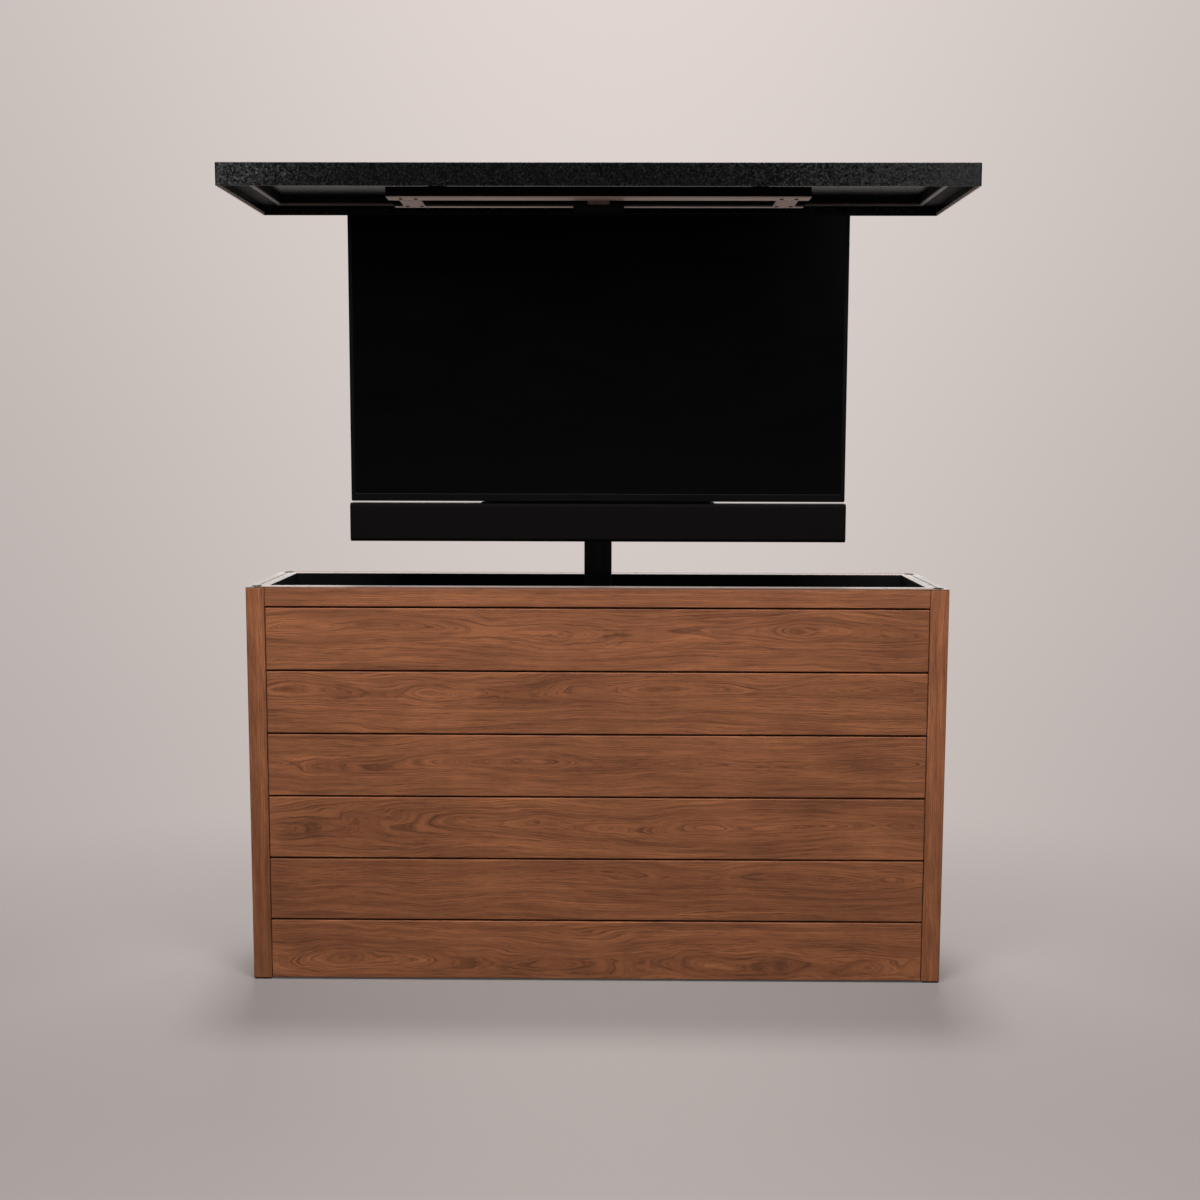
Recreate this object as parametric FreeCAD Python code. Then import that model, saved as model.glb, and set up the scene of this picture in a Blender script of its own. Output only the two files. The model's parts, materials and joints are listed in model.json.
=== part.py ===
import FreeCAD, Part
import math
import os

# Outdoor TV lift cabinet, standing raised. Millimetres, +Z up, front towards -Y.
# The origin is on the floor, at the centre of the cabinet's footprint.
# A wall is a board, a steel tube frame and a liner sheet. Inside stands a three-stage
# telescopic column whose two spindles turn together; its top carries lid, screen and soundbar.

V = FreeCAD.Vector

# Cabinet
cabinet_width = 1700.0
cabinet_depth = 420.0
cabinet_height = 980.0
board_count = 6
board_thickness = 20.0
board_gap = 4.0
board_end_gap = 1.5
board_edge_cut = 2.5
top_rail_height = 45.0
top_rail_end_gap = 0.6
ground_clearance = 5.0
post_edge_cut = 3.0
frame_tube = 25.0
frame_tube_wall = 2.0
frame_ground_gap = 8.0
liner_thickness = 3.0
floor_thickness = 12.0
flange_thickness = 2.0
foot_height = 3.0
foot_inset = 2.5
front_stud_spacing = 400.0
cross_tube_spacing = 300.0
anchor_spacing_x = 1400.0
anchor_spacing_y = 240.0
anchor_hole_radius = 5.5
plug_size = 24.0
plug_stem_size = 12.0
plug_stem_length = 15.0
plug_proud = 0.4
fit_clearance = 0.05

# Service opening in the rear wall
service_rows = 3
service_opening_width = 643.0
service_gap = 3.0
service_recess = 2.0
sheet_thickness = 2.0
louvre_rows = 7
louvre_columns = 2
louvre_length = 200.0
louvre_height = 12.0
louvre_pitch = 24.0
louvre_column_spacing = 270.0
louvre_lowest = 240.0
grommet_bore_radius = 15.0
grommet_hole_radius = 20.0
grommet_lip_radius = 25.0
grommet_length = 10.0
grommet_x = 220.0
grommet_z = 70.0

# Lift column
stage_travel = 480.0
column_y = 62.0
outer_column_size = 84.0
column_wall = 4.0
stage_gap = 3.0
running_gap = 0.3
column_edge_radius = 6.0
groove_width = 6.0
groove_depth = 1.0
groove_spacing = 28.0
glide_width = 40.0
glide_length = 60.0
glide_end_distance = 5.0
glide_corner_cut = 4.0
stage_top_step = 12.0
stage_foot_step = 5.0
base_plate_length = 360.0
base_plate_depth = 180.0
base_plate_thickness = 8.0
base_bolt_radius = 5.5
base_bolt_inset = 22.0
base_corner_cut = 12.0
gusset_thickness = 6.0
gusset_height = 110.0
gusset_length = 90.0
gusset_offset = 34.0
gearbox_height = 68.0
gearbox_clearance = 0.2
gearbox_edge_cut = 4.0
motor_radius = 27.0
motor_length = 118.0
motor_height = 34.0
motor_window_gap = 2.0
motor_cap_length = 16.0
motor_cap_step = 3.0
lower_spindle_radius = 8.0
upper_spindle_radius = 13.0
upper_spindle_bore_radius = 9.0
spindle_seat_depth = 40.0
lower_nut_height = 18.0
upper_seat_depth = 14.0
inner_nut_height = 20.0
spindle_past_nut = 20.0
key_bush_length = 30.0
spindle_end_gap = 0.3
control_box_length = 230.0
control_box_depth = 90.0
control_box_height = 50.0
control_box_x = -605.0
control_box_y = 95.0
control_box_corner_cut = 8.0
control_box_step = 4.0
control_foot_width = 28.0

# Lid and its carrier
lid_overhang = 40.0
lid_height = 50.0
lid_sheet = 3.0
lid_overlap = 14.0
lid_edge_radius = 4.0
lid_bar_width = 57.0
lid_bar_recess = 20.0
lid_bar_wall = 2.5
gasket_width = 12.0
gasket_height = 5.0
gasket_lip_cut = 3.0
lid_lining_thickness = 6.0
lid_lining_gap = 1.0
carrier_length = 1033.0
carrier_bar_width = 60.0
carrier_bar_height = 25.0
carrier_bar_wall = 2.5
carrier_edge_cut = 2.0
carrier_rail_spacing = 124.0
carrier_below_rim = 6.0
crossbar_width = 55.0
crossbar_spacing = 465.0
isolator_radius = 18.0
isolator_waist_radius = 13.0
isolator_spacing = 800.0
head_width = 127.0
head_thickness = 8.0
head_plug_length = 40.0
head_plug_gap = 0.1
head_corner_cut = 8.0

# Mounting spine, screen and soundbar
spine_front = 2.0
spine_depth = 15.0
spine_sheet = 3.0
spine_hole_count = 6
spine_hole_width = 50.0
spine_hole_length = 80.0
spine_hole_corner_cut = 12.0
mount_rail_length = 560.0
mount_rail_height = 40.0
mount_rail_depth = 10.0
mount_sheet = 2.5
hook_width = 30.0
hook_depth = 10.0
hook_overlap = 40.0
vesa_spacing = 400.0
screen_width = 1230.0
screen_height = 707.0
screen_thickness = 42.0
bezel_depth = 14.0
bezel_side = 10.0
bezel_bottom = 19.0
bezel_top = 7.0
bezel_edge_radius = 4.0
glass_thickness = 3.0
glass_inset = 1.5
back_rim = 6.0
back_rim_depth = 8.0
back_foot_margin_x = 110.0
back_foot_margin_z = 40.0
back_top_margin_x = 165.0
back_top_margin_z = 93.5
screen_below_head = 23.0
soundbar_width = 1238.0
soundbar_height = 96.0
soundbar_depth = 60.0
soundbar_gap = 5.0
soundbar_grille_depth = 12.0
soundbar_edge_radius = 10.0
bracket_width = 583.0
bracket_sheet = 3.0
bracket_above = 60.0
bracket_below_top = 85.0
bracket_ledge = 44.0

# Levels and faces that follow from the values above
half_width = cabinet_width / 2
half_depth = cabinet_depth / 2
post_size = board_thickness + frame_tube
wall = post_size + liner_thickness
inner_half_width = half_width - wall
inner_half_depth = half_depth - wall
rim_top = cabinet_height - flange_thickness
first_board_top = rim_top - top_rail_height - board_gap
board_height = (first_board_top - (board_count - 1) * board_gap) / board_count
floor_bottom = frame_ground_gap + frame_tube
floor_top = floor_bottom + floor_thickness
total_travel = 2 * stage_travel

middle_column_size = outer_column_size - 2 * (column_wall + stage_gap)
inner_column_size = middle_column_size - 2 * (column_wall + stage_gap)

lid_bottom = cabinet_height - lid_overlap + total_travel
lid_top = lid_bottom + lid_height
lid_half_width = half_width + lid_overhang
lid_half_depth = half_depth + lid_overhang
lid_skin_bottom = lid_top - lid_sheet
lid_bar_bottom = lid_bottom + lid_bar_recess
lid_bar_inset = lid_sheet + lid_bar_width
lid_lining_bottom = lid_skin_bottom - lid_lining_thickness
carrier_bottom = lid_bottom - carrier_below_rim
carrier_top = carrier_bottom + carrier_bar_height
head_bottom = carrier_bottom - head_thickness

base_plate_top = floor_top + base_plate_thickness
gearbox_top = base_plate_top + gearbox_height
middle_bottom = gearbox_top + stage_foot_step + stage_travel
foot_plate_height = lower_nut_height + upper_seat_depth
inner_bottom = middle_bottom + foot_plate_height + stage_foot_step + stage_travel
middle_top = head_bottom - stage_top_step - stage_travel
outer_top = head_bottom - total_travel - 2 * stage_top_step

spine_back = spine_front + spine_depth
mount_rail_front = spine_front - mount_rail_depth
screen_back = mount_rail_front - hook_depth
screen_front = screen_back - screen_thickness
screen_top = head_bottom - screen_below_head
screen_bottom = screen_top - screen_height
screen_middle = (screen_top + screen_bottom) / 2
soundbar_top = screen_bottom - soundbar_gap
soundbar_bottom = soundbar_top - soundbar_height
soundbar_back = spine_front - bracket_sheet
soundbar_front = soundbar_back - soundbar_depth


def save(name, shapes):
    """Write one node from one solid or a list of separate solids."""
    solids = shapes if isinstance(shapes, list) else [shapes]
    whole = solids[0] if len(solids) == 1 else Part.makeCompound(solids)
    whole.exportStep("parts/" + name + ".step")


def box(x0, x1, y0, y1, z0, z1):
    """Block between two opposite corners."""
    return Part.makeBox(x1 - x0, y1 - y0, z1 - z0, V(x0, y0, z0))


def outline(corners, sizes, arcs=True):
    """Closed wire through the corners, each rounded or cut off to its own size (0 keeps it sharp)."""
    starts = []
    ends = []
    edges = []
    for index, corner in enumerate(corners):
        size = sizes[index]
        if size == 0:
            starts.append(corner)
            ends.append(corner)
            continue
        to_last = (corners[index - 1] - corner).normalize()
        to_next = (corners[(index + 1) % len(corners)] - corner).normalize()
        half_angle = to_last.getAngle(to_next) / 2
        reach = size / math.tan(half_angle) if arcs else size
        starts.append(corner + to_last * reach)
        ends.append(corner + to_next * reach)
        if arcs:
            inward = (to_last + to_next).normalize()
            middle = corner + inward * (size / math.sin(half_angle) - size)
            edges.append(Part.Arc(starts[-1], middle, ends[-1]).toShape())
        else:
            edges.append(Part.LineSegment(starts[-1], ends[-1]).toShape())
    for index, end in enumerate(ends):
        start = starts[(index + 1) % len(starts)]
        if end.distanceToPoint(start) > 1e-6:
            edges.append(Part.LineSegment(end, start).toShape())
    return Part.Wire(Part.__sortEdges__(edges))


def prism(corners, sizes, direction, arcs=True):
    """Solid made by pushing an outline along a vector."""
    return Part.Face(outline(corners, sizes, arcs)).extrude(direction)


def bar_x(x0, x1, y0, y1, z0, z1, sizes, arcs=True):
    """Bar along X; sizes are for its edges at (y0 z0), (y1 z0), (y1 z1), (y0 z1)."""
    corners = [V(x0, y0, z0), V(x0, y1, z0), V(x0, y1, z1), V(x0, y0, z1)]
    return prism(corners, sizes, V(x1 - x0, 0, 0), arcs)


def bar_y(x0, x1, y0, y1, z0, z1, sizes, arcs=True):
    """Bar along Y; sizes are for its edges at (x0 z0), (x1 z0), (x1 z1), (x0 z1)."""
    corners = [V(x0, y0, z0), V(x1, y0, z0), V(x1, y0, z1), V(x0, y0, z1)]
    return prism(corners, sizes, V(0, y1 - y0, 0), arcs)


def bar_z(x0, x1, y0, y1, z0, z1, sizes, arcs=True):
    """Bar along Z; sizes are for its edges at (x0 y0), (x1 y0), (x1 y1), (x0 y1)."""
    corners = [V(x0, y0, z0), V(x1, y0, z0), V(x1, y1, z0), V(x0, y1, z0)]
    return prism(corners, sizes, V(0, 0, z1 - z0), arcs)


def tube(bar, x0, x1, y0, y1, z0, z1, wall_thickness, along):
    """Square or flat tube: a bar with a straight hole along the named axis."""
    t = wall_thickness
    if along == "x":
        return bar.cut(box(x0 - 1, x1 + 1, y0 + t, y1 - t, z0 + t, z1 - t))
    if along == "y":
        return bar.cut(box(x0 + t, x1 - t, y0 - 1, y1 + 1, z0 + t, z1 - t))
    return bar.cut(box(x0 + t, x1 - t, y0 + t, y1 - t, z0 - 1, z1 + 1))


def frame_bar(x0, x1, y0, y1, z0, z1, along):
    """Plain steel tube of the wall frame."""
    bar = box(x0, x1, y0, y1, z0, z1)
    return tube(bar, x0, x1, y0, y1, z0, z1, frame_tube_wall, along)


def mirrored_x(shape):
    return shape.mirror(V(0, 0, 0), V(1, 0, 0))


def mirrored_y(shape):
    return shape.mirror(V(0, 0, 0), V(0, 1, 0))


# ---------------------------------------------------------------- cabinet

def corner_post(side_x, side_y):
    """Square post with its outer edges eased and a mortise for the plug in its top."""
    post = bar_z(
        -half_width, -half_width + post_size,
        -half_depth, -half_depth + post_size,
        foot_height, rim_top,
        [post_edge_cut, post_edge_cut, 0, post_edge_cut], arcs=False)
    x = -half_width + post_size / 2
    y = -half_depth + post_size / 2
    half = plug_stem_size / 2 + fit_clearance
    post = post.cut(box(x - half, x + half, y - half, y + half, rim_top - plug_stem_length - 1, rim_top + 1))
    if side_x > 0:
        post = mirrored_x(post)
    if side_y > 0:
        post = mirrored_y(post)
    return post


def board_span(row):
    """Lowest and highest Z of a board; rows count from 1 at the top."""
    top = first_board_top - (row - 1) * (board_height + board_gap)
    bottom = top - board_height
    if row == board_count:
        bottom += ground_clearance
    return bottom, top


def board_x(x0, x1, bottom, top):
    """Board of the front wall, its face edges eased."""
    cuts = [board_edge_cut, 0, 0, board_edge_cut]
    return bar_x(x0, x1, -half_depth, -half_depth + board_thickness, bottom, top, cuts, arcs=False)


def board_y(y0, y1, bottom, top):
    """Board of the left wall, its face edges eased."""
    cuts = [board_edge_cut, 0, 0, board_edge_cut]
    return bar_y(-half_width, -half_width + board_thickness, y0, y1, bottom, top, cuts, arcs=False)


def front_board(row):
    bottom, top = board_span(row)
    end = half_width - post_size - board_end_gap
    return board_x(-end, end, bottom, top)


def left_boards():
    end = half_depth - post_size - board_end_gap
    boards = []
    for row in range(1, board_count + 1):
        bottom, top = board_span(row)
        boards.append(board_y(-end, end, bottom, top))
    return boards


def rear_boards():
    """Full boards above the service opening, and a short one each side of it below."""
    end = half_width - post_size - board_end_gap
    boards = []
    for row in range(1, board_count + 1):
        bottom, top = board_span(row)
        if row <= board_count - service_rows:
            boards.append(mirrored_y(board_x(-end, end, bottom, top)))
            continue
        short = mirrored_y(board_x(-end, -service_opening_width / 2, bottom, top))
        boards.append(short)
        boards.append(mirrored_x(short))
    return boards


def top_rail_front():
    end = half_width - post_size - top_rail_end_gap
    return board_x(-end, end, rim_top - top_rail_height, rim_top)


def top_rail_left():
    end = half_depth - post_size - top_rail_end_gap
    return board_y(-end, end, rim_top - top_rail_height, rim_top)


def service_header_bottom():
    """Underside of the tube above the service opening, centred on the seam there."""
    seam = board_span(board_count - service_rows)[0] - board_gap / 2
    return seam - frame_tube / 2


def frame_rails():
    """Horizontal tubes: a ring at the foot, a ring at the top, two floor bearers and a header."""
    outer_x = half_width - board_thickness
    outer_y = half_depth - board_thickness
    inner_x = outer_x - frame_tube
    inner_y = outer_y - frame_tube
    rails = []
    for low in (frame_ground_gap, rim_top - frame_tube):
        high = low + frame_tube
        front = frame_bar(-inner_x, inner_x, -outer_y, -inner_y, low, high, "x")
        left = frame_bar(-outer_x, -inner_x, -inner_y, inner_y, low, high, "y")
        rails += [front, mirrored_y(front), left, mirrored_x(left)]
    for x in (-cross_tube_spacing / 2, cross_tube_spacing / 2):
        half = frame_tube / 2
        rails.append(frame_bar(x - half, x + half, -inner_y, inner_y, frame_ground_gap, floor_bottom, "y"))
    header = service_header_bottom()
    end = service_opening_width / 2 - frame_tube / 2
    rails.append(frame_bar(-end, end, inner_y, outer_y, header, header + frame_tube, "x"))
    return rails


def frame_studs():
    """Upright tubes between floor panel and top ring that the boards are screwed to."""
    low = floor_top
    high = rim_top - frame_tube
    outer_x = half_width - board_thickness
    outer_y = half_depth - board_thickness
    half = frame_tube / 2
    studs = []
    for x in (-front_stud_spacing, 0, front_stud_spacing):
        studs.append(frame_bar(x - half, x + half, -outer_y, -outer_y + frame_tube, low, high, "z"))
    for x in (-service_opening_width / 2, service_opening_width / 2):
        studs.append(frame_bar(x - half, x + half, outer_y - frame_tube, outer_y, low, high, "z"))
    left = frame_bar(-outer_x, -outer_x + frame_tube, -half, half, low, high, "z")
    studs += [left, mirrored_x(left)]
    return studs


def floor_panel():
    """Panel on the foot ring, notched round the posts, with anchor holes to the ground."""
    outer_x = half_width - board_thickness
    outer_y = half_depth - board_thickness
    panel = box(-outer_x, outer_x, -outer_y, outer_y, floor_bottom, floor_top)
    notch_x = half_width - post_size
    notch_y = half_depth - post_size
    for sx in (-1, 1):
        for sy in (-1, 1):
            x0, x1 = sorted((sx * notch_x, sx * half_width))
            y0, y1 = sorted((sy * notch_y, sy * half_depth))
            panel = panel.cut(box(x0, x1, y0, y1, floor_bottom - 1, floor_top + 1))
            centre = V(sx * anchor_spacing_x / 2, sy * anchor_spacing_y / 2, floor_bottom - 1)
            panel = panel.cut(Part.makeCylinder(anchor_hole_radius, floor_thickness + 2, centre))
    return panel


def liner_front():
    end = inner_half_width + liner_thickness
    outside = -inner_half_depth - liner_thickness
    return box(-end, end, outside, -inner_half_depth, floor_top, rim_top)


def liner_rear():
    """Rear liner sheet, notched over the service opening."""
    sheet = mirrored_y(liner_front())
    end = service_opening_width / 2 - frame_tube / 2
    notch = box(-end, end, inner_half_depth - 1, half_depth, floor_top - 1, service_header_bottom())
    return sheet.cut(notch)


def liner_left():
    outside = -inner_half_width - liner_thickness
    return box(outside, -inner_half_width, -inner_half_depth, inner_half_depth, floor_top, rim_top)


def top_flange():
    """Four strips that close the walls' tops, with a hole over each post for its plug."""
    front = box(-half_width, half_width, -half_depth, -inner_half_depth, rim_top, cabinet_height)
    half = plug_size / 2 + fit_clearance
    y = -half_depth + post_size / 2
    for x in (-half_width + post_size / 2, half_width - post_size / 2):
        front = front.cut(box(x - half, x + half, y - half, y + half, rim_top - 1, cabinet_height + 1))
    left = box(-half_width, -inner_half_width, -inner_half_depth, inner_half_depth, rim_top, cabinet_height)
    return [front, mirrored_y(front), left, mirrored_x(left)]


def post_plugs():
    """Square plug with a broad head in the top of each corner post."""
    plugs = []
    half = plug_size / 2
    stem_half = plug_stem_size / 2
    top = cabinet_height + plug_proud
    for x in (-half_width + post_size / 2, half_width - post_size / 2):
        for y in (-half_depth + post_size / 2, half_depth - post_size / 2):
            head = box(x - half, x + half, y - half, y + half, rim_top, top)
            stem = box(
                x - stem_half, x + stem_half, y - stem_half, y + stem_half,
                rim_top - plug_stem_length, rim_top)
            plugs.append(head.fuse(stem).removeSplitter())
    return plugs


def foot_glides():
    """Hard pad under each corner post."""
    pads = []
    for sx in (-1, 1):
        for sy in (-1, 1):
            x0, x1 = sorted((sx * (half_width - foot_inset), sx * (half_width - post_size + foot_inset)))
            y0, y1 = sorted((sy * (half_depth - foot_inset), sy * (half_depth - post_size + foot_inset)))
            pads.append(box(x0, x1, y0, y1, 0, foot_height))
    return pads


def louvre_hood(x0, z0):
    """Pressed hood that sheds rain over one louvre slot."""
    face = half_depth - service_recess
    reach = face + 5.0
    corners = [
        V(x0, face, z0 + louvre_height + 4),
        V(x0, reach, z0 + 2),
        V(x0, reach - 1.2, z0 + 1.2),
        V(x0, face, z0 + louvre_height + 1),
    ]
    return prism(corners, [0, 0, 0, 0], V(louvre_length, 0, 0))


def service_panel():
    """Screwed-on sheet tray with louvres and a hole for the cable grommet."""
    half = service_opening_width / 2 - service_gap
    bottom = frame_ground_gap + 1
    top = board_span(board_count - service_rows + 1)[1] - board_gap / 4
    face = half_depth - service_recess
    seat = half_depth - board_thickness
    t = sheet_thickness
    tray = box(-half, half, seat, face, bottom, top)
    tray = tray.cut(box(-half + t, half - t, seat - 1, face - t, bottom + t, top - t))
    hoods = []
    for column in range(louvre_columns):
        x0 = (column - (louvre_columns - 1) / 2) * louvre_column_spacing - louvre_length / 2
        for row in range(louvre_rows):
            z0 = louvre_lowest + row * louvre_pitch
            slot = box(x0, x0 + louvre_length, face - t - 1, face + 1, z0, z0 + louvre_height)
            tray = tray.cut(slot)
            hoods.append(louvre_hood(x0, z0))
    tray = tray.multiFuse(hoods).removeSplitter()
    hole = Part.makeCylinder(grommet_hole_radius, t + 4, V(grommet_x, face + 2, grommet_z), V(0, -1, 0))
    return tray.cut(hole)


def cable_grommet():
    """Rubber bush: a lipped ring pressed into the hole in the service panel."""
    face = half_depth - service_recess
    outer_end = face + (grommet_length - sheet_thickness) / 2
    inner_end = outer_end - grommet_length
    points = [
        V(grommet_bore_radius, outer_end, 0), V(grommet_lip_radius, outer_end, 0),
        V(grommet_lip_radius, face, 0), V(grommet_hole_radius, face, 0),
        V(grommet_hole_radius, inner_end, 0), V(grommet_bore_radius, inner_end, 0),
    ]
    face_shape = Part.Face(Part.makePolygon(points + [points[0]]))
    ring = face_shape.revolve(V(0, 0, 0), V(0, 1, 0), 360)
    ring.translate(V(grommet_x, 0, grommet_z))
    return ring


# ---------------------------------------------------------------- lift column

def column_section(size, z, groove):
    """Square outline round the column's axis, with two shallow grooves in every side."""
    half = size / 2
    sides = []
    spots = [-groove_spacing / 2, groove_spacing / 2] if groove else []
    side = [V(-half, -half, 0)]
    for spot in spots:
        side += [
            V(spot - groove_width / 2, -half, 0), V(spot - groove_width / 2, -half + groove_depth, 0),
            V(spot + groove_width / 2, -half + groove_depth, 0), V(spot + groove_width / 2, -half, 0),
        ]
    radii = [column_edge_radius if groove else 0] + [0] * (4 * len(spots))
    for turn in range(4):
        for point in side:
            angle = math.radians(90 * turn)
            x = point.x * math.cos(angle) - point.y * math.sin(angle)
            y = point.x * math.sin(angle) + point.y * math.cos(angle)
            sides.append(V(x, y + column_y, z))
    return outline(sides, radii * 4)


def column_stage(size, bottom, top):
    """One hollow stage of the column."""
    height = V(0, 0, top - bottom)
    solid = Part.Face(column_section(size, bottom, True)).extrude(height)
    bore_size = size - 2 * column_wall
    bore = Part.Face(column_section(bore_size, bottom, False)).extrude(height)
    return solid.cut(bore)


def glides(face_distance, outward, z0):
    """Four pads on a stage's sides, standing on the wall at face_distance from the axis."""
    thickness = stage_gap - running_gap
    near = face_distance if outward else face_distance - thickness
    pad = bar_y(
        -glide_width / 2, glide_width / 2, -near - thickness, -near, z0, z0 + glide_length,
        [glide_corner_cut] * 4, arcs=False)
    pads = []
    for turn in range(4):
        copy = pad.copy()
        copy.rotate(V(0, 0, 0), V(0, 0, 1), 90 * turn)
        copy.translate(V(0, column_y, 0))
        pads.append(copy)
    return pads


def base_plate():
    """Foot plate with four bolt holes and a pair of gussets each side of the column."""
    y0 = column_y - base_plate_depth / 2
    y1 = column_y + base_plate_depth / 2
    half = base_plate_length / 2
    plate = bar_z(-half, half, y0, y1, floor_top, base_plate_top, [base_corner_cut] * 4, arcs=False)
    for x in (-half + base_bolt_inset, half - base_bolt_inset):
        for y in (y0 + base_bolt_inset, y1 - base_bolt_inset):
            start = V(x, y, floor_top - 1)
            plate = plate.cut(Part.makeCylinder(base_bolt_radius, base_plate_thickness + 2, start))
    ribs = []
    side = outer_column_size / 2
    for y in (column_y - gusset_offset, column_y + gusset_offset):
        corners = [
            V(side, y - gusset_thickness / 2, base_plate_top),
            V(side + gusset_length, y - gusset_thickness / 2, base_plate_top),
            V(side + gusset_length, y - gusset_thickness / 2, base_plate_top + 12),
            V(side + 12, y - gusset_thickness / 2, base_plate_top + gusset_height),
            V(side, y - gusset_thickness / 2, base_plate_top + gusset_height),
        ]
        rib = prism(corners, [0] * 5, V(0, gusset_thickness, 0))
        ribs += [rib, mirrored_x(rib)]
    return plate.multiFuse(ribs).removeSplitter()


def outer_column():
    """Fixed stage, with a window in its foot for the motor."""
    stage = column_stage(outer_column_size, base_plate_top, outer_top)
    window = Part.makeCylinder(
        motor_radius + motor_window_gap, outer_column_size, V(0, column_y, base_plate_top + motor_height),
        V(1, 0, 0))
    return stage.cut(window)


def drive_gearbox():
    """Worm gearbox in the column's foot, with a seat for the lower spindle."""
    half = outer_column_size / 2 - column_wall - gearbox_clearance
    block = bar_z(
        -half, half, column_y - half, column_y + half, base_plate_top, gearbox_top,
        [gearbox_edge_cut] * 4, arcs=False)
    seat = Part.makeCylinder(
        lower_spindle_radius + fit_clearance, spindle_seat_depth + 1, V(0, column_y, gearbox_top + 1),
        V(0, 0, -1))
    return block.cut(seat)


def drive_motor():
    """Round motor that lies out to the right, with a narrower end cap."""
    x0 = outer_column_size / 2 - column_wall - gearbox_clearance
    x1 = x0 + motor_length
    r = motor_radius
    points = [
        V(x0, 0, 0), V(x0, r, 0), V(x1 - motor_cap_length, r, 0),
        V(x1 - motor_cap_length, r - motor_cap_step, 0), V(x1, r - motor_cap_step, 0), V(x1, 0, 0),
    ]
    body = Part.Face(Part.makePolygon(points + [points[0]])).revolve(V(0, 0, 0), V(1, 0, 0), 360)
    body.translate(V(0, column_y, base_plate_top + motor_height))
    return body


def lower_spindle():
    """Spindle that stands in the gearbox; its splined tip turns the upper spindle."""
    bottom = gearbox_top - spindle_seat_depth + spindle_end_gap
    top = middle_bottom + lower_nut_height + spindle_end_gap + key_bush_length + spindle_past_nut
    shaft = Part.makeCylinder(lower_spindle_radius, top - bottom, V(0, column_y, bottom))
    tip_radius = upper_spindle_bore_radius - fit_clearance
    tip = Part.makeCylinder(tip_radius, key_bush_length, V(0, column_y, top - key_bush_length))
    return shaft.fuse(tip).removeSplitter()


def middle_foot_plate():
    """Block in the middle stage's foot: nut for the lower spindle, seat for the upper one."""
    half = middle_column_size / 2 - column_wall
    block = box(
        -half, half, column_y - half, column_y + half, middle_bottom, middle_bottom + foot_plate_height)
    nut = Part.makeCylinder(
        lower_spindle_radius + fit_clearance, foot_plate_height + 2, V(0, column_y, middle_bottom - 1))
    seat = Part.makeCylinder(
        upper_spindle_radius + fit_clearance, upper_seat_depth + 1,
        V(0, column_y, middle_bottom + lower_nut_height))
    return block.cut(nut).cut(seat)


def upper_spindle():
    """Hollow spindle that stands on the middle stage and slides over the lower one."""
    bottom = middle_bottom + lower_nut_height + spindle_end_gap
    top = inner_bottom + inner_nut_height + spindle_past_nut
    shaft = Part.makeCylinder(upper_spindle_radius, top - bottom, V(0, column_y, bottom))
    bore = Part.makeCylinder(upper_spindle_bore_radius, top - bottom + 2, V(0, column_y, bottom - 1))
    return shaft.cut(bore)


def inner_foot_plate():
    """Nut for the upper spindle in the inner stage's foot."""
    half = inner_column_size / 2 - column_wall
    block = box(-half, half, column_y - half, column_y + half, inner_bottom, inner_bottom + inner_nut_height)
    nut = Part.makeCylinder(
        upper_spindle_radius + fit_clearance, inner_nut_height + 2, V(0, column_y, inner_bottom - 1))
    return block.cut(nut)


def control_box():
    """Moulded box with a stepped cover and mounting feet, behind the screen's bay."""
    x0 = control_box_x - control_box_length / 2
    x1 = control_box_x + control_box_length / 2
    y0 = control_box_y - control_box_depth / 2
    y1 = control_box_y + control_box_depth / 2
    top = floor_top + control_box_height
    cuts = [control_box_corner_cut] * 4
    step = control_box_step
    case = bar_z(x0, x1, y0, y1, floor_top, top - step, cuts, arcs=False)
    cover = bar_z(x0 + step, x1 - step, y0 + step, y1 - step, top - step, top, cuts, arcs=False)
    half = control_foot_width / 2
    feet = []
    for x in (x0, x1):
        feet.append(box(
            x - half, x + half, control_box_y - half, control_box_y + half, floor_top, floor_top + step))
    return case.multiFuse([cover] + feet).removeSplitter()


# ---------------------------------------------------------------- head, spine and screen

def column_head():
    """Plate on the inner stage with a plug inside it; the lid's carrier lies on the plate."""
    half = head_width / 2
    back = column_y + outer_column_size / 2
    plate = bar_z(
        -half, half, spine_front, back, head_bottom, carrier_bottom,
        [0, 0, head_corner_cut, head_corner_cut], arcs=False)
    plug_half = inner_column_size / 2 - column_wall - head_plug_gap
    plug = box(
        -plug_half, plug_half, column_y - plug_half, column_y + plug_half,
        head_bottom - head_plug_length, head_bottom)
    return plate.fuse(plug).removeSplitter()


def mount_spine():
    """Folded channel that hangs from the head in front of the column, with long holes."""
    half = head_width / 2
    low = soundbar_bottom + bracket_sheet
    t = spine_sheet
    section = [
        V(-half, spine_front, low), V(half, spine_front, low), V(half, spine_back, low),
        V(half - t, spine_back, low), V(half - t, spine_front + t, low), V(-half + t, spine_front + t, low),
        V(-half + t, spine_back, low), V(-half, spine_back, low),
    ]
    spine = prism(section, [t, t, 0, 0, 0, 0, 0, 0], V(0, 0, head_bottom - low))
    first = screen_bottom + 100
    last = screen_top - 90
    step = (last - first) / (spine_hole_count - 1)
    for index in range(spine_hole_count):
        middle = first + index * step
        hole = bar_y(
            -spine_hole_width / 2, spine_hole_width / 2, spine_front - 1, spine_front + t + 1,
            middle - spine_hole_length / 2, middle + spine_hole_length / 2,
            [spine_hole_corner_cut] * 4, arcs=False)
        spine = spine.cut(hole)
    return spine


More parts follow.
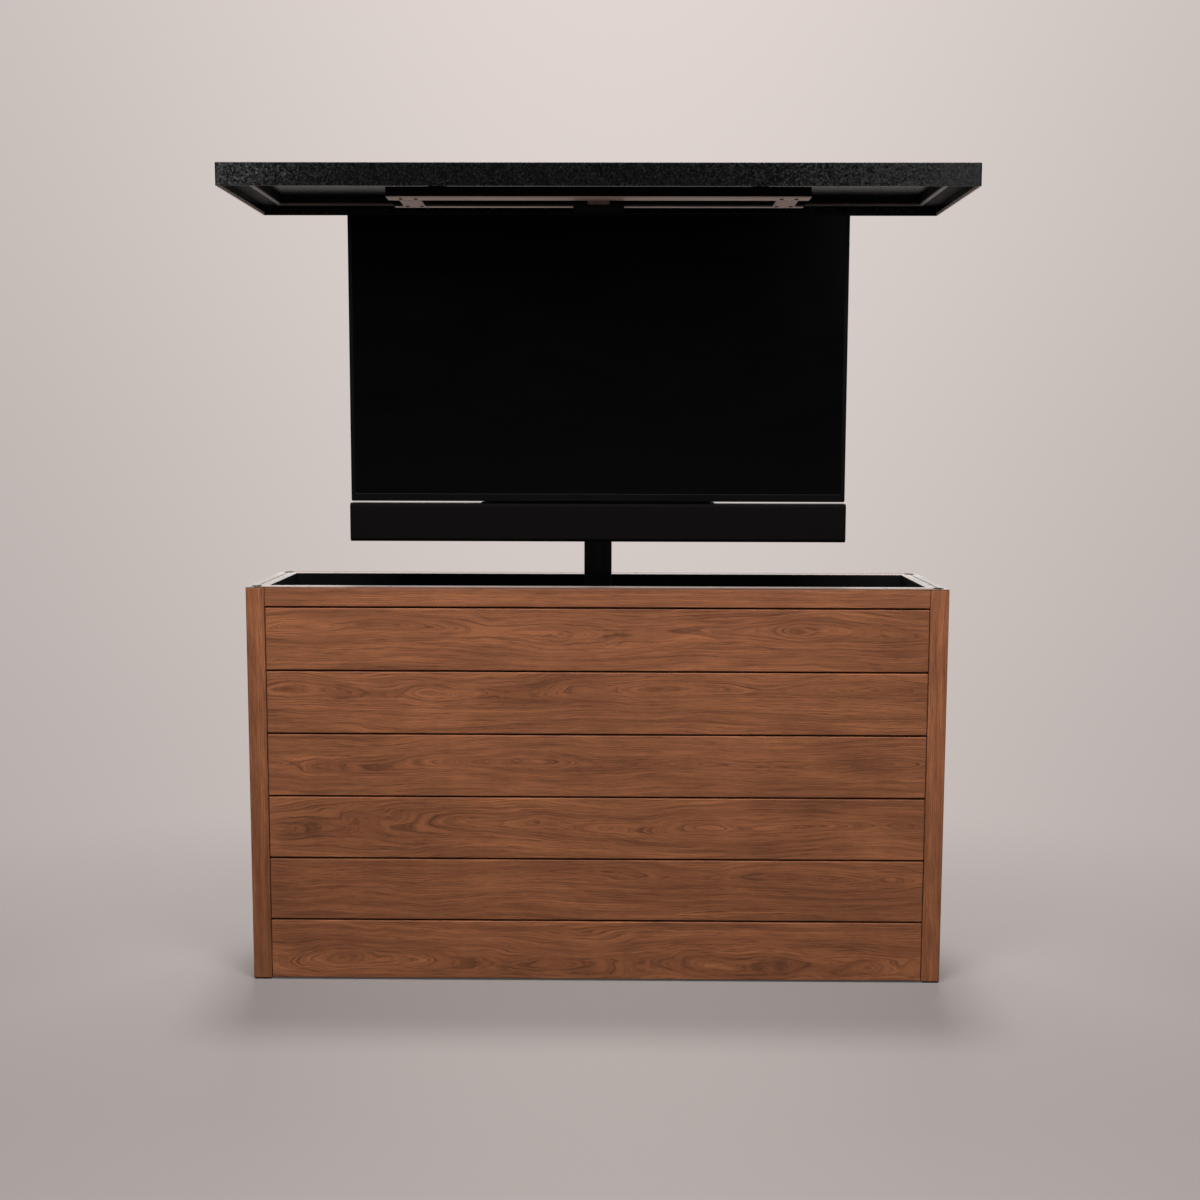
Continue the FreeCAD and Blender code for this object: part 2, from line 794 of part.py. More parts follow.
def mount_rails():
    """Two level channels on the spine that the screen's hooks hang on."""
    half = mount_rail_length / 2
    t = mount_sheet
    rails = []
    for z in (screen_middle - vesa_spacing / 2, screen_middle + vesa_spacing / 2):
        z0 = z - mount_rail_height / 2
        z1 = z + mount_rail_height / 2
        section = [
            V(-half, spine_front, z0), V(-half, spine_front, z1), V(-half, mount_rail_front, z1),
            V(-half, mount_rail_front, z1 - 8), V(-half, mount_rail_front + t, z1 - 8),
            V(-half, mount_rail_front + t, z1 - t), V(-half, spine_front - t, z1 - t),
            V(-half, spine_front - t, z0 + t), V(-half, mount_rail_front + t, z0 + t),
            V(-half, mount_rail_front + t, z0 + 8), V(-half, mount_rail_front, z0 + 8),
            V(-half, mount_rail_front, z0),
        ]
        rails.append(prism(section, [0] * 12, V(2 * half, 0, 0)))
    return rails


def screen_hooks():
    """Two upright channels bolted to the screen's back, which lie against the rails."""
    hooks = []
    z0 = screen_middle - vesa_spacing / 2 - hook_overlap
    z1 = screen_middle + vesa_spacing / 2 + hook_overlap
    t = mount_sheet
    for x in (-vesa_spacing / 2, vesa_spacing / 2):
        half = hook_width / 2
        section = [
            V(x - half, mount_rail_front, z0), V(x - half, screen_back, z0), V(x + half, screen_back, z0),
            V(x + half, mount_rail_front, z0), V(x + half - t, mount_rail_front, z0),
            V(x + half - t, screen_back + t, z0), V(x - half + t, screen_back + t, z0),
            V(x - half + t, mount_rail_front, z0),
        ]
        hooks.append(prism(section, [0, t, t, 0, 0, 0, 0, 0], V(0, 0, z1 - z0), arcs=False))
    return hooks


def screen_bezel():
    """Front frame of the screen, with a step at its back edge for the glass."""
    half = screen_width / 2
    back = screen_front + bezel_depth
    frame = bar_y(-half, half, screen_front, back, screen_bottom, screen_top, [bezel_edge_radius] * 4)
    opening = box(
        -half + bezel_side, half - bezel_side, screen_front - 1, back + 1,
        screen_bottom + bezel_bottom, screen_top - bezel_top)
    return frame.cut(opening)


def screen_glass():
    """Display panel in the front frame, set back a little from its face."""
    half = screen_width / 2 - bezel_side
    front = screen_front + glass_inset
    return box(
        -half, half, front, front + glass_thickness, screen_bottom + bezel_bottom, screen_top - bezel_top)


def screen_display():
    """Backlight tray that fills the frame behind the glass."""
    half = screen_width / 2 - bezel_side
    front = screen_front + glass_inset + glass_thickness
    return box(-half, half, front, screen_front + bezel_depth, screen_bottom + bezel_bottom,
               screen_top - bezel_top)


def back_outline(margin_x, margin_z, y, radius):
    """Rounded rectangle in the screen's outline, moved in by two margins."""
    half = screen_width / 2 - margin_x
    low = screen_bottom + margin_z
    high = screen_top - margin_z
    corners = [V(-half, y, low), V(half, y, low), V(half, y, high), V(-half, y, high)]
    return outline(corners, [radius] * 4)


def screen_back_cover():
    """Moulded rear cover: a thin rim and a raised, tapered middle over the electronics."""
    front = screen_front + bezel_depth
    step = front + back_rim_depth
    rim = Part.Face(back_outline(back_rim, back_rim, front, 8.0)).extrude(V(0, back_rim_depth, 0))
    foot = back_outline(back_foot_margin_x, back_foot_margin_z, step, 30.0)
    top = back_outline(back_top_margin_x, back_top_margin_z, screen_back, 24.0)
    hump = Part.makeLoft([foot, top], True, True)
    return rim.fuse(hump).removeSplitter()


def soundbar_housing():
    """Rear body of the soundbar."""
    half = soundbar_width / 2
    r = soundbar_edge_radius
    return bar_x(
        -half, half, soundbar_front + soundbar_grille_depth, soundbar_back, soundbar_bottom, soundbar_top,
        [0, r, r, 0])


def soundbar_grille():
    """Cloth-covered front of the soundbar, with rounded long edges."""
    half = soundbar_width / 2
    r = soundbar_edge_radius
    return bar_x(
        -half, half, soundbar_front, soundbar_front + soundbar_grille_depth, soundbar_bottom, soundbar_top,
        [r, 0, 0, r])


def soundbar_bracket():
    """Folded plate: upright on the spine, with a ledge over the soundbar's top."""
    half = bracket_width / 2
    t = bracket_sheet
    low = soundbar_top - bracket_below_top
    high = soundbar_top + bracket_above
    section = [
        V(-half, soundbar_back, low), V(-half, spine_front, low), V(-half, spine_front, high),
        V(-half, soundbar_back, high), V(-half, soundbar_back, soundbar_top + t),
        V(-half, soundbar_back - bracket_ledge, soundbar_top + t),
        V(-half, soundbar_back - bracket_ledge, soundbar_top), V(-half, soundbar_back, soundbar_top),
    ]
    return prism(section, [0] * 8, V(bracket_width, 0, 0))


# ---------------------------------------------------------------- lid

def lid_shell():
    """Folded tray turned over: a flat top with a rim all round."""
    radii = [lid_edge_radius] * 4
    w = lid_half_width
    d = lid_half_depth
    tray = bar_z(-w, w, -d, d, lid_bottom, lid_top, radii)
    upper_edges = [e for e in tray.Edges if min(v.Z for v in e.Vertexes) > lid_top - 1e-3]
    tray = tray.makeFillet(2.0, upper_edges)
    t = lid_sheet
    return tray.cut(box(-w + t, w - t, -d + t, d - t, lid_bottom - 1, lid_skin_bottom))


def lid_frame():
    """Four flat tubes inside the rim that stiffen the lid and carry its gasket."""
    w = lid_half_width - lid_sheet
    d = lid_half_depth - lid_sheet
    b = lid_bar_width
    z0 = lid_bar_bottom
    z1 = lid_skin_bottom
    front = box(-w, w, -d, -d + b, z0, z1)
    front = tube(front, -w, w, -d, -d + b, z0, z1, lid_bar_wall, "x")
    left = box(-w, -w + b, -d + b, d - b, z0, z1)
    left = tube(left, -w, -w + b, -d + b, d - b, z0, z1, lid_bar_wall, "y")
    return [front, mirrored_y(front), left, mirrored_x(left)]


def lid_gasket():
    """Soft seal strips under the lid's frame, over the cabinet's top flange."""
    w = lid_half_width - lid_bar_inset
    d = lid_half_depth - lid_bar_inset
    g = gasket_width
    z0 = lid_bar_bottom - gasket_height
    z1 = lid_bar_bottom
    lip = [gasket_lip_cut, gasket_lip_cut, 0, 0]
    front = bar_x(-w - g, w + g, -d - g, -d, z0, z1, lip, arcs=False)
    left = bar_y(-w - g, -w, -d, d, z0, z1, lip, arcs=False)
    return [front, mirrored_y(front), left, mirrored_x(left)]


def lid_lining():
    """Panel inside the lid's frame, against the skin."""
    w = lid_half_width - lid_bar_inset - lid_lining_gap
    d = lid_half_depth - lid_bar_inset - lid_lining_gap
    return box(-w, w, -d, d, lid_lining_bottom, lid_skin_bottom)


def carrier_rails():
    """Two long flat tubes of the ladder that carries the lid."""
    half = carrier_length / 2
    rails = []
    for middle in (-carrier_rail_spacing / 2, carrier_rail_spacing / 2):
        y0 = middle - carrier_bar_width / 2
        y1 = middle + carrier_bar_width / 2
        bar = bar_x(-half, half, y0, y1, carrier_bottom, carrier_top, [carrier_edge_cut] * 4, arcs=False)
        rails.append(tube(bar, -half, half, y0, y1, carrier_bottom, carrier_top, carrier_bar_wall, "x"))
    return rails


def carrier_crossbars():
    """Three rungs between the carrier's rails."""
    end = (carrier_rail_spacing - carrier_bar_width) / 2
    rungs = []
    for x in (-crossbar_spacing, 0, crossbar_spacing):
        x0 = x - crossbar_width / 2
        x1 = x + crossbar_width / 2
        bar = bar_y(x0, x1, -end, end, carrier_bottom, carrier_top, [carrier_edge_cut] * 4, arcs=False)
        rungs.append(tube(bar, x0, x1, -end, end, carrier_bottom, carrier_top, carrier_bar_wall, "y"))
    return rungs


def lid_isolators():
    """Waisted rubber mounts between the carrier's rails and the lid's lining."""
    height = lid_lining_bottom - carrier_top
    points = [
        V(0, 0, 0), V(isolator_radius, 0, 0), V(isolator_waist_radius, 0, height / 2),
        V(isolator_radius, 0, height), V(0, 0, height),
    ]
    profile = Part.Face(Part.makePolygon(points + [points[0]]))
    mounts = []
    for y in (-carrier_rail_spacing / 2, carrier_rail_spacing / 2):
        for x in (-isolator_spacing / 2, isolator_spacing / 2):
            mount = profile.revolve(V(0, 0, 0), V(0, 0, 1), 360)
            mount.translate(V(x, y, carrier_top))
            mounts.append(mount)
    return mounts


def main():
    os.makedirs("parts", exist_ok=True)

    save("corner_post_front_left", corner_post(-1, -1))
    save("corner_post_front_right", corner_post(1, -1))
    save("corner_post_rear_left", corner_post(-1, 1))
    save("corner_post_rear_right", corner_post(1, 1))
    for row in range(1, board_count + 1):
        save("front_board_" + str(row), front_board(row))
    save("left_boards", left_boards())
    save("right_boards", [mirrored_x(board) for board in left_boards()])
    save("rear_boards", rear_boards())
    save("top_rail_front", top_rail_front())
    save("top_rail_rear", mirrored_y(top_rail_front()))
    save("top_rail_left", top_rail_left())
    save("top_rail_right", mirrored_x(top_rail_left()))
    save("frame_rails", frame_rails())
    save("frame_studs", frame_studs())
    save("floor_panel", floor_panel())
    save("liner_front", liner_front())
    save("liner_rear", liner_rear())
    save("side_liners", [liner_left(), mirrored_x(liner_left())])
    save("top_flange", top_flange())
    save("post_plugs", post_plugs())
    save("foot_glides", foot_glides())
    save("service_panel", service_panel())
    save("cable_grommet", cable_grommet())
    save("control_box", control_box())

    outer_bore = outer_column_size / 2 - column_wall
    middle_bore = middle_column_size / 2 - column_wall
    save("lift_base_plate", base_plate())
    save("outer_column", outer_column())
    save("outer_glides", glides(outer_bore, False, outer_top - glide_end_distance - glide_length))
    save("drive_gearbox", drive_gearbox())
    save("drive_motor", drive_motor())
    save("lower_spindle", lower_spindle())
    save("middle_column", column_stage(middle_column_size, middle_bottom, middle_top))
    lower_pads = glides(middle_column_size / 2, True, middle_bottom + glide_end_distance)
    upper_pads = glides(middle_bore, False, middle_top - glide_end_distance - glide_length)
    save("middle_glides", lower_pads + upper_pads)
    save("middle_foot_plate", middle_foot_plate())
    save("upper_spindle", upper_spindle())
    save("inner_column", column_stage(inner_column_size, inner_bottom, head_bottom))
    save("inner_glides", glides(inner_column_size / 2, True, inner_bottom + glide_end_distance))
    save("inner_foot_plate", inner_foot_plate())

    save("column_head", column_head())
    save("mount_spine", mount_spine())
    save("mount_rails", mount_rails())
    save("screen_hooks", screen_hooks())
    save("screen_bezel", screen_bezel())
    save("screen_glass", screen_glass())
    save("screen_display", screen_display())
    save("screen_back_cover", screen_back_cover())
    save("soundbar_housing", soundbar_housing())
    save("soundbar_grille", soundbar_grille())
    save("soundbar_bracket", soundbar_bracket())
    save("lid_shell", lid_shell())
    save("lid_frame", lid_frame())
    save("lid_gasket", lid_gasket())
    save("lid_lining", lid_lining())
    save("lid_carrier", carrier_rails() + carrier_crossbars())
    save("lid_isolators", lid_isolators())


main()
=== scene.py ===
import json
import math
from collections import namedtuple
from contextlib import contextmanager

import bmesh
import bpy
from bpy.props import FloatProperty, FloatVectorProperty, IntProperty, PointerProperty
from bpy.types import Operator, Panel, PropertyGroup
from mathutils import Matrix, Vector

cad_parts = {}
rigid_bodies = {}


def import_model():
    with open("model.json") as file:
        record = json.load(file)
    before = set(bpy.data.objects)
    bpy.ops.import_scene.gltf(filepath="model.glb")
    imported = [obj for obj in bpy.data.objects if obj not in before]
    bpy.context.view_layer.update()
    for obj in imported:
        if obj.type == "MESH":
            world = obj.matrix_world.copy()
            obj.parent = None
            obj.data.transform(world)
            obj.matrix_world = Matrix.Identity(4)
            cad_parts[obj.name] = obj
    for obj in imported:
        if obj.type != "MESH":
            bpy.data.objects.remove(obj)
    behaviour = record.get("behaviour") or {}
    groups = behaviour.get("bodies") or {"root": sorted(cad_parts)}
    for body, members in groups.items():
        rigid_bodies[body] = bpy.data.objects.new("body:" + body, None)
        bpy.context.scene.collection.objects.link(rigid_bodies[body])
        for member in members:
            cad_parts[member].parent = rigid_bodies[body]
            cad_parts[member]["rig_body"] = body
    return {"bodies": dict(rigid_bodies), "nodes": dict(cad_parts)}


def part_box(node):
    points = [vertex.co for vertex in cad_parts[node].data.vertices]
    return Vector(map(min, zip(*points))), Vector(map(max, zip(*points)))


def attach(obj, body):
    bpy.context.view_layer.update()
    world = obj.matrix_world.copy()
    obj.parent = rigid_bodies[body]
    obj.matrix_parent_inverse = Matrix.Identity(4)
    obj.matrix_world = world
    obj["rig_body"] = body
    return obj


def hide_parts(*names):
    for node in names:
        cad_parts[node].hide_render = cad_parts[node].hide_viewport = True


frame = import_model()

bl_info = {
    "name": "TV lift cabinet finish",
    "version": (1, 0, 0),
    "blender": (4, 5, 0),
    "location": "3D View > Sidebar > TV cabinet",
    "description": "Boards, coats, fasteners, light and camera for the TV lift cabinet",
    "category": "Object",
}

known = set(frame["nodes"].values()) | set(frame["bodies"].values())
for stray in [thing for thing in bpy.data.objects if thing not in known]:
    bpy.data.objects.remove(stray)
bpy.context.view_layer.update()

MM = 0.001
NODES = frame["nodes"]
SLOT_OF = {name: node.data.materials[0].name for name, node in NODES.items()}
BODY_OF = {name: node["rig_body"] for name, node in NODES.items()}


# ---- Node trees ----

def math_node(operation):
    """A method that makes this Math node from a signal and another value."""
    return lambda self, other: self.tree.math(operation, self, other)


class Signal:
    """One output of a node. + - * / ** > < with signals or numbers make Math nodes."""

    __add__, __sub__ = math_node("ADD"), math_node("SUBTRACT")
    __mul__, __truediv__, __pow__ = math_node("MULTIPLY"), math_node("DIVIDE"), math_node("POWER")
    __gt__, __lt__ = math_node("GREATER_THAN"), math_node("LESS_THAN")      # 1 where it holds, else 0

    def __init__(self, tree, socket):
        self.tree = tree
        self.socket = socket

    def __abs__(self):
        return self.tree.math("ABSOLUTE", self)


class Tree:
    """Short hand for one node tree."""

    def __init__(self, tree):
        self.tree = tree

    def node(self, kind, values=None, **settings):
        """A new node; values go to its inputs, by their names or numbers."""
        made = self.tree.nodes.new(kind)
        for key, value in settings.items():
            setattr(made, key, value)
        for key, value in (values or {}).items():
            self.put(made.inputs[key], value)
        return made

    def put(self, socket, value):
        """Links a signal to the socket, or sets the socket's own value."""
        if isinstance(value, Signal):
            self.tree.links.new(value.socket, socket)
        else:
            socket.default_value = rgba(value) if socket.type == "RGBA" else value

    def out(self, kind, values=None, output=0, **settings):
        """One output of a new node."""
        return Signal(self, self.node(kind, values, **settings).outputs[output])

    def outputs(self, kind, values=None, **settings):
        """All outputs of a new node, by their names."""
        made = self.node(kind, values, **settings)
        return {socket.name: Signal(self, socket) for socket in made.outputs}

    def math(self, operation, *values):
        return self.out("ShaderNodeMath", dict(enumerate(values)), operation=operation)

    def larger(self, first, second):
        return self.math("MAXIMUM", first, second)

    def vector(self, operation, *values):
        output = "Value" if operation == "LENGTH" else "Vector"
        return self.out("ShaderNodeVectorMath", dict(enumerate(values)), output, operation=operation)

    def scaled(self, vector, factor):
        return self.out("ShaderNodeVectorMath", {0: vector, "Scale": factor}, operation="SCALE")

    def parts(self, vector):
        """The x, y and z of a vector."""
        return list(self.outputs("ShaderNodeSeparateXYZ", {0: vector}).values())

    def join(self, x, y, z):
        return self.out("ShaderNodeCombineXYZ", {0: x, 1: y, 2: z})

    def remap(self, value, low, high, start, end, smooth=False):
        """Turns low to high into start to end, and goes no further."""
        kind = "SMOOTHSTEP" if smooth else "LINEAR"
        values = dict(enumerate((value, low, high, start, end)))
        return self.out("ShaderNodeMapRange", values, interpolation_type=kind, clamp=True)

    def mix(self, factor, first, second):
        return self.out("ShaderNodeMix", {0: factor, 6: first, 7: second}, 2, data_type="RGBA")

    def ramp(self, value, stops):
        """A colour for the value, from stops of (place, colour)."""
        made = self.node("ShaderNodeValToRGB", {"Fac": value})
        points = made.color_ramp.elements
        while len(points) < len(stops):
            points.new(0.5)
        for point, stop in zip(points, stops):
            point.position = stop[0]
        for point, stop in zip(points, stops):
            point.color = rgba(stop[1])
        return Signal(self, made.outputs[0])


LOOKS = {"colour": "Base Color", "metallic": "Metallic", "rough": "Roughness", "gloss": "Specular IOR Level",
         "normal": "Normal"}


class Finish(Tree):
    """A new material with one shader; its patterns lie on the object's coordinates."""

    def __init__(self, name):
        self.material = bpy.data.materials.new(name)
        self.material.use_nodes = True
        super().__init__(self.material.node_tree)
        self.shader = self.tree.nodes["Principled BSDF"]
        self.place = self.out("ShaderNodeTexCoord", None, "Object")

    def dress(self, **looks):
        """Gives the shader a plain value or a pattern for each look."""
        for look, value in looks.items():
            self.put(self.shader.inputs[LOOKS[look]], value)

    def look(self, name):
        """The pattern that the shader has for this look so far."""
        return Signal(self, self.shader.inputs[LOOKS[name]].links[0].from_socket)

    def facing(self):
        """The way that a face looks."""
        return self.out("ShaderNodeNewGeometry", None, "Normal")

    def attribute(self, name):
        return self.out("ShaderNodeAttribute", None, "Vector", attribute_name=name)

    def noise(self, place, waves=None, detail=3.0, rough=0.5, bend=0.0):
        """Clouds, with so many waves in a metre along each axis."""
        if waves:
            place = self.vector("MULTIPLY", place, waves)
        values = {"Vector": place, "Scale": 1.0, "Detail": detail, "Roughness": rough, "Distortion": bend}
        return self.out("ShaderNodeTexNoise", values)

    def cells(self, place, waves, output="Distance"):
        """Cells round scattered points: the distance to the point, or the cell's own random colour."""
        values = {"Vector": self.vector("MULTIPLY", place, waves), "Scale": 1.0}
        return self.out("ShaderNodeTexVoronoi", values, output)

    def bump(self, height, strength, depth, **normal):
        values = {"Height": height, "Strength": strength, "Distance": depth, **normal}
        return self.out("ShaderNodeBump", values)


def rgba(colour):
    return (*colour, 1.0)


def shade(colour, factor):
    """The colour, darker or paler by the factor."""
    return tuple(min(1.0, part * factor) for part in colour)


# ---- Finishes ----

# colour, metallic, roughness, specular, patches in a metre, how far the patches differ, waves of the relief
# in a metre, its depth in mm; three numbers in a metre stand for x, y and z
FINISHES = {
    "galvanised_tube": ((0.5, 0.51, 0.52), 0.85, 0.42, 0.5, 90, 0.35, 160, 0.10),
    "black_sheet": ((0.004, 0.004, 0.0042), 0.0, 0.34, 0.2, 9, 0.25, 700, 0.10),
    "light_flange": ((0.235, 0.212, 0.196), 0.1, 0.5, 0.4, (6, 40, 40), 0.14, (40, 900, 900), 0.04),
    "black_plastic": ((0.0045, 0.0045, 0.005), 0.0, 0.5, 0.08, 14, 0.2, 1100, 0.08),
    "rubber_black": ((0.02, 0.02, 0.02), 0.0, 0.78, 0.3, 30, 0.25, 600, 0.12),
    "black_painted_sheet": ((0.02, 0.02, 0.021), 0.0, 0.42, 0.45, 8, 0.2, 800, 0.10),
    "black_steel": ((0.0035, 0.0035, 0.0038), 0.0, 0.42, 0.14, 12, 0.25, 500, 0.10),
    "black_anodised": ((0.0016, 0.0016, 0.0018), 0.0, 0.34, 0.1, (60, 60, 3), 0.3, (900, 900, 9), 0.05),
    "pale_glide_plastic": ((0.7, 0.68, 0.62), 0.0, 0.45, 0.4, 25, 0.08, 300, 0.06),
    "cast_housing": ((0.35, 0.35, 0.36), 0.8, 0.55, 0.5, 45, 0.22, 420, 0.35),
    "motor_case": ((0.03, 0.03, 0.032), 0.3, 0.4, 0.5, 40, 0.22, (260, 900, 900), 0.08),
    "bright_screw_steel": ((0.55, 0.55, 0.56), 1.0, 0.24, 0.5, 60, 0.15, (200, 200, 3000), 0.03),
    "screen_plastic": ((0.002, 0.002, 0.0022), 0.0, 0.4, 0.05, 10, 0.2, 1300, 0.05),
    "carrier_steel": ((0.0014, 0.0014, 0.0015), 0.0, 0.42, 0.06, 12, 0.25, 500, 0.10),
    "frame_coat": ((0.0028, 0.0028, 0.003), 0.0, 0.62, 0.08, 20, 0.3, 600, 0.10),
    "plug_plastic": ((0.004, 0.004, 0.0045), 0.0, 0.8, 0.0, 40, 0.2, 900, 0.08),
    "rear_moulding": ((0.022, 0.022, 0.023), 0.0, 0.46, 0.45, 10, 0.15, 900, 0.16),
    "grey_seal": ((0.07, 0.058, 0.052), 0.0, 0.3, 0.14, 25, 0.15, 500, 0.08),
    "grey_lining": ((0.03, 0.028, 0.027), 0.0, 0.27, 0.5, 5, 0.25, 350, 0.08),
}
RAIL_BROWN = (0.12, 0.05, 0.027)
JOINT_COLOUR = (0.02, 0.018, 0.016)
GLASS_DARK, GLASS_PALE = (0.0006, 0.0006, 0.0007), (0.0012, 0.0012, 0.0013)

# places that a coat follows, in metres
LID_SIDE = 0.8868               # from the middle to the inside of the lid's side walls
LID_LOWER_EDGE = 1.930
FLANGE_JOINT = 0.8275           # from the middle to the joint near each end
FLANGE_OVER_RAIL = 0.189        # from the middle to the strip over the front or rear rail
JOINT_INNER, JOINT_OUTER = 1.4 * MM, 1.9 * MM
END_RUNG = 0.465                # from the middle to the middle of an end rung
RUNG_HALF_WIDTH = 0.0275
FRONT_RAIL_BACK = -0.032
# from here back, the rear rail's lower face gets a painted reflection
REAR_RAIL_REFLECTS = 0.066
CLOTH_PITCH = 1.5 * MM
COAT_FACETS = (260, 260, 260)   # in a metre
COAT_LUMPS = (700, 700, 700)


def coated(slot, options):
    """Paint, plastic or metal from the table: mottled colour, uneven gloss, fine relief."""
    colour, metallic, rough, gloss, patches, mottle, waves, relief = FINISHES[slot]
    patches, waves = [size if isinstance(size, tuple) else (size,) * 3 for size in (patches, waves)]
    tree = Finish("fine_" + slot)
    stain = tree.noise(tree.place, patches, 5.0, 0.6, 0.4)
    dark, pale = shade(colour, 1 - mottle), shade(colour, 1 + mottle)
    wear = tree.noise(tree.place, [size * 0.35 for size in patches], 6.0, 0.65)
    fine = tree.noise(tree.place, waves, 4.0, 0.6)
    tree.dress(colour=tree.mix(tree.remap(stain, 0.3, 0.7, 0.0, 1.0), dark, pale),
               rough=tree.remap(wear, 0.3, 0.7, rough * 0.85, rough * 1.2), metallic=metallic, gloss=gloss,
               normal=tree.bump(fine, 0.6, relief * MM))
    return tree


def wood(name, order, options, figure=1.0):
    """Flat-sawn boards: rings round a tilted pith, knots, pores and broad patches, one draw per board.

    order names the axes along, across and through a board; figure tells how lively the grain is.
    """
    tree = Finish(name)
    local = tree.parts(tree.vector("SUBTRACT", tree.place, tree.attribute("board_centre")))
    along, across, through = [local["XYZ".index(axis)] for axis in order]
    luck = tree.parts(tree.attribute("board_draw"))
    away = luck[0] * 37.0
    grain = tree.join(along + away, across + away, through)

    # distance from the pith, which wanders
    wander = tree.noise(grain, (1.7, 3.0, 3.0), 2.0) - 0.5
    pith = tree.remap(luck[1], 0.0, 1.0, -0.045, 0.045)
    depth = tree.remap(luck[2], 0.0, 1.0, 0.012, 0.055)
    slope = tree.remap(luck[0], 0.0, 1.0, -0.05, 0.05)
    side = across - pith + wander * (0.07 * figure) + 0.12 * (1.0 - figure)
    sunk = through + (depth + along * (slope * figure)) + wander * 0.05
    rings = tree.vector("LENGTH", tree.join(side, sunk, 0.0))

    # swirls, ripples and knots bend the rings
    swirl = tree.noise(grain, (2.2, 7.0, 7.0), 2.0, 0.45, 0.6)
    ripple = tree.noise(grain, (11.0, 40.0, 40.0), 3.0, 0.55)
    knot = tree.remap(tree.cells(grain, (1.3, 4.6, 4.6)), 0.02, 0.24, 0.021 * figure, 0.0, smooth=True)
    rings = rings + swirl * (0.046 * figure) + ripple * (0.0065 * math.sqrt(figure)) + knot
    cycle = tree.math("FRACT", rings / options.ring_spacing)
    late = cycle ** 1.7 * tree.remap(cycle, 0.86, 1.0, 1.0, 0.0)

    def strands(lengthwise, crosswise, detail, rough):
        """Noise drawn out along the rings."""
        return tree.noise(tree.join(along * lengthwise, rings * crosswise, away), None, detail, rough)

    streak = strands(1.3, 85.0, 3.0, 0.6)
    dash = tree.remap(strands(12.0, 620.0, 2.0, 0.6), 0.5, 0.66, 0.0, 1.0)
    hair = tree.remap(strands(34.0, 1150.0, 2.0, 0.6), 0.53, 0.7, 0.0, 1.0)
    fibre = tree.remap(strands(5.0, 210.0, 3.0, 0.7), 0.42, 0.64, 0.0, 1.0)
    cloud = tree.noise(grain, (3.0, 10.0, 10.0), 4.0, 0.62, 0.8)
    strength = tree.remap(tree.noise(grain, (4.0, 9.0, 9.0), 2.0), 0.36, 0.64, 0.14, 0.8)

    light, dark, pore = options.light_wood, options.dark_wood, options.pore_colour
    body = tree.mix(tree.remap(cloud * 0.55 + streak * 0.75, 0.47, 0.86, 0.0, 0.85), light, dark)
    layers = ((late * strength, dark), (fibre * 0.3, dark), (dash * 0.52, pore), (hair * 0.45, pore))
    for share, colour in layers:
        body = tree.mix(share, body, colour)
    relief = tree.bump(late * 0.35 - (dash + hair), 0.5, 0.25 * MM)
    tree.dress(colour=tree.scaled(body, tree.remap(luck[2], 0.0, 1.0, 0.93, 1.07)),
               rough=tree.remap(late, 0.0, 1.0, 0.62, 0.5), gloss=0.2, normal=relief)
    return tree.material


def speckled_coat(slot, options):
    """Coarse textured black coat: small facets, each tilted its own way, so that some glint.

    Where the lower edge of the lid's side walls looks inwards or down, the coat gives way to a pale painted
    reflection.
    """
    tree = Finish("fine_" + slot)
    facets = tree.cells(tree.place, COAT_FACETS, "Color")
    luck = tree.parts(facets)
    plain = tree.facing()
    toward = tree.parts(plain)
    x, y, z = tree.parts(tree.place)
    inward_or_down = tree.larger(toward[0] * x < -0.3, toward[2] < -0.5)
    # painted reflection: the lid's lower side edges, where they look inwards or down, are painted pale
    painted_reflection = (abs(x) > LID_SIDE) * inward_or_down * (z < LID_LOWER_EDGE)
    coated_here = tree.math("SUBTRACT", 1.0, painted_reflection)
    tilt = tree.scaled(tree.vector("SUBTRACT", facets, (0.5, 0.5, 0.5)), options.coat_tilt)
    tilted = tree.vector("NORMALIZE", tree.vector("ADD", plain, tree.scaled(tilt, coated_here)))
    lump = tree.noise(tree.place, COAT_LUMPS, 3.0, 0.6) * coated_here
    fleck = tree.remap(luck[0], 0.72, 1.0, 0.0, 1.0)
    coat = tree.mix(fleck, options.coat_colour, options.fleck_colour)
    tree.dress(colour=tree.mix(painted_reflection, coat, options.bare_edge),
               rough=tree.remap(luck[1], 0.0, 1.0, 0.1, 0.3) + tree.larger(toward[2], 0.0) * 0.3, gloss=0.2,
               normal=tree.bump(lump, 0.5, 0.1 * MM, Normal=tilted))
    return tree


def flange_metal(slot, options):
    """Pale sheet with a thin dark joint near each end; edges and the strips over the rails are brown."""
    tree = coated(slot, options)
    x, y, z = tree.parts(tree.place)
    joint = tree.remap(abs(abs(x) - FLANGE_JOINT), JOINT_INNER, JOINT_OUTER, 1.0, 0.0)
    edge = tree.remap(tree.parts(tree.facing())[2], 0.2, 0.6, 0.85, 0.0)
    over_rail = (abs(y) > FLANGE_OVER_RAIL) * (abs(x) < FLANGE_JOINT)
    sheet = tree.mix(tree.larger(edge, over_rail), tree.look("colour"), RAIL_BROWN)
    tree.dress(colour=tree.mix(joint, sheet, JOINT_COLOUR),
               rough=tree.larger(tree.look("rough"), joint))
    return tree


def carrier_coat(slot, options):
    """Black coat; the lower faces of rungs and rails carry a pale painted reflection, but for the rear rail's
    front part.
    """
    tree = coated(slot, options)
    x, y, z = tree.parts(tree.place)
    down = tree.parts(tree.facing())[2] < -0.7
    from_rung = tree.math("MINIMUM", abs(x), abs(abs(x) - END_RUNG))
    rail = tree.larger(y < FRONT_RAIL_BACK, y > REAR_RAIL_REFLECTS)
    # painted reflection: the lower faces of rungs and rails are painted pale
    painted_reflection = down * tree.larger(from_rung < RUNG_HALF_WIDTH, rail)
    tree.dress(colour=tree.mix(painted_reflection, tree.look("colour"), options.bare_carrier),
               rough=tree.larger(tree.look("rough"), down - painted_reflection))
    return tree


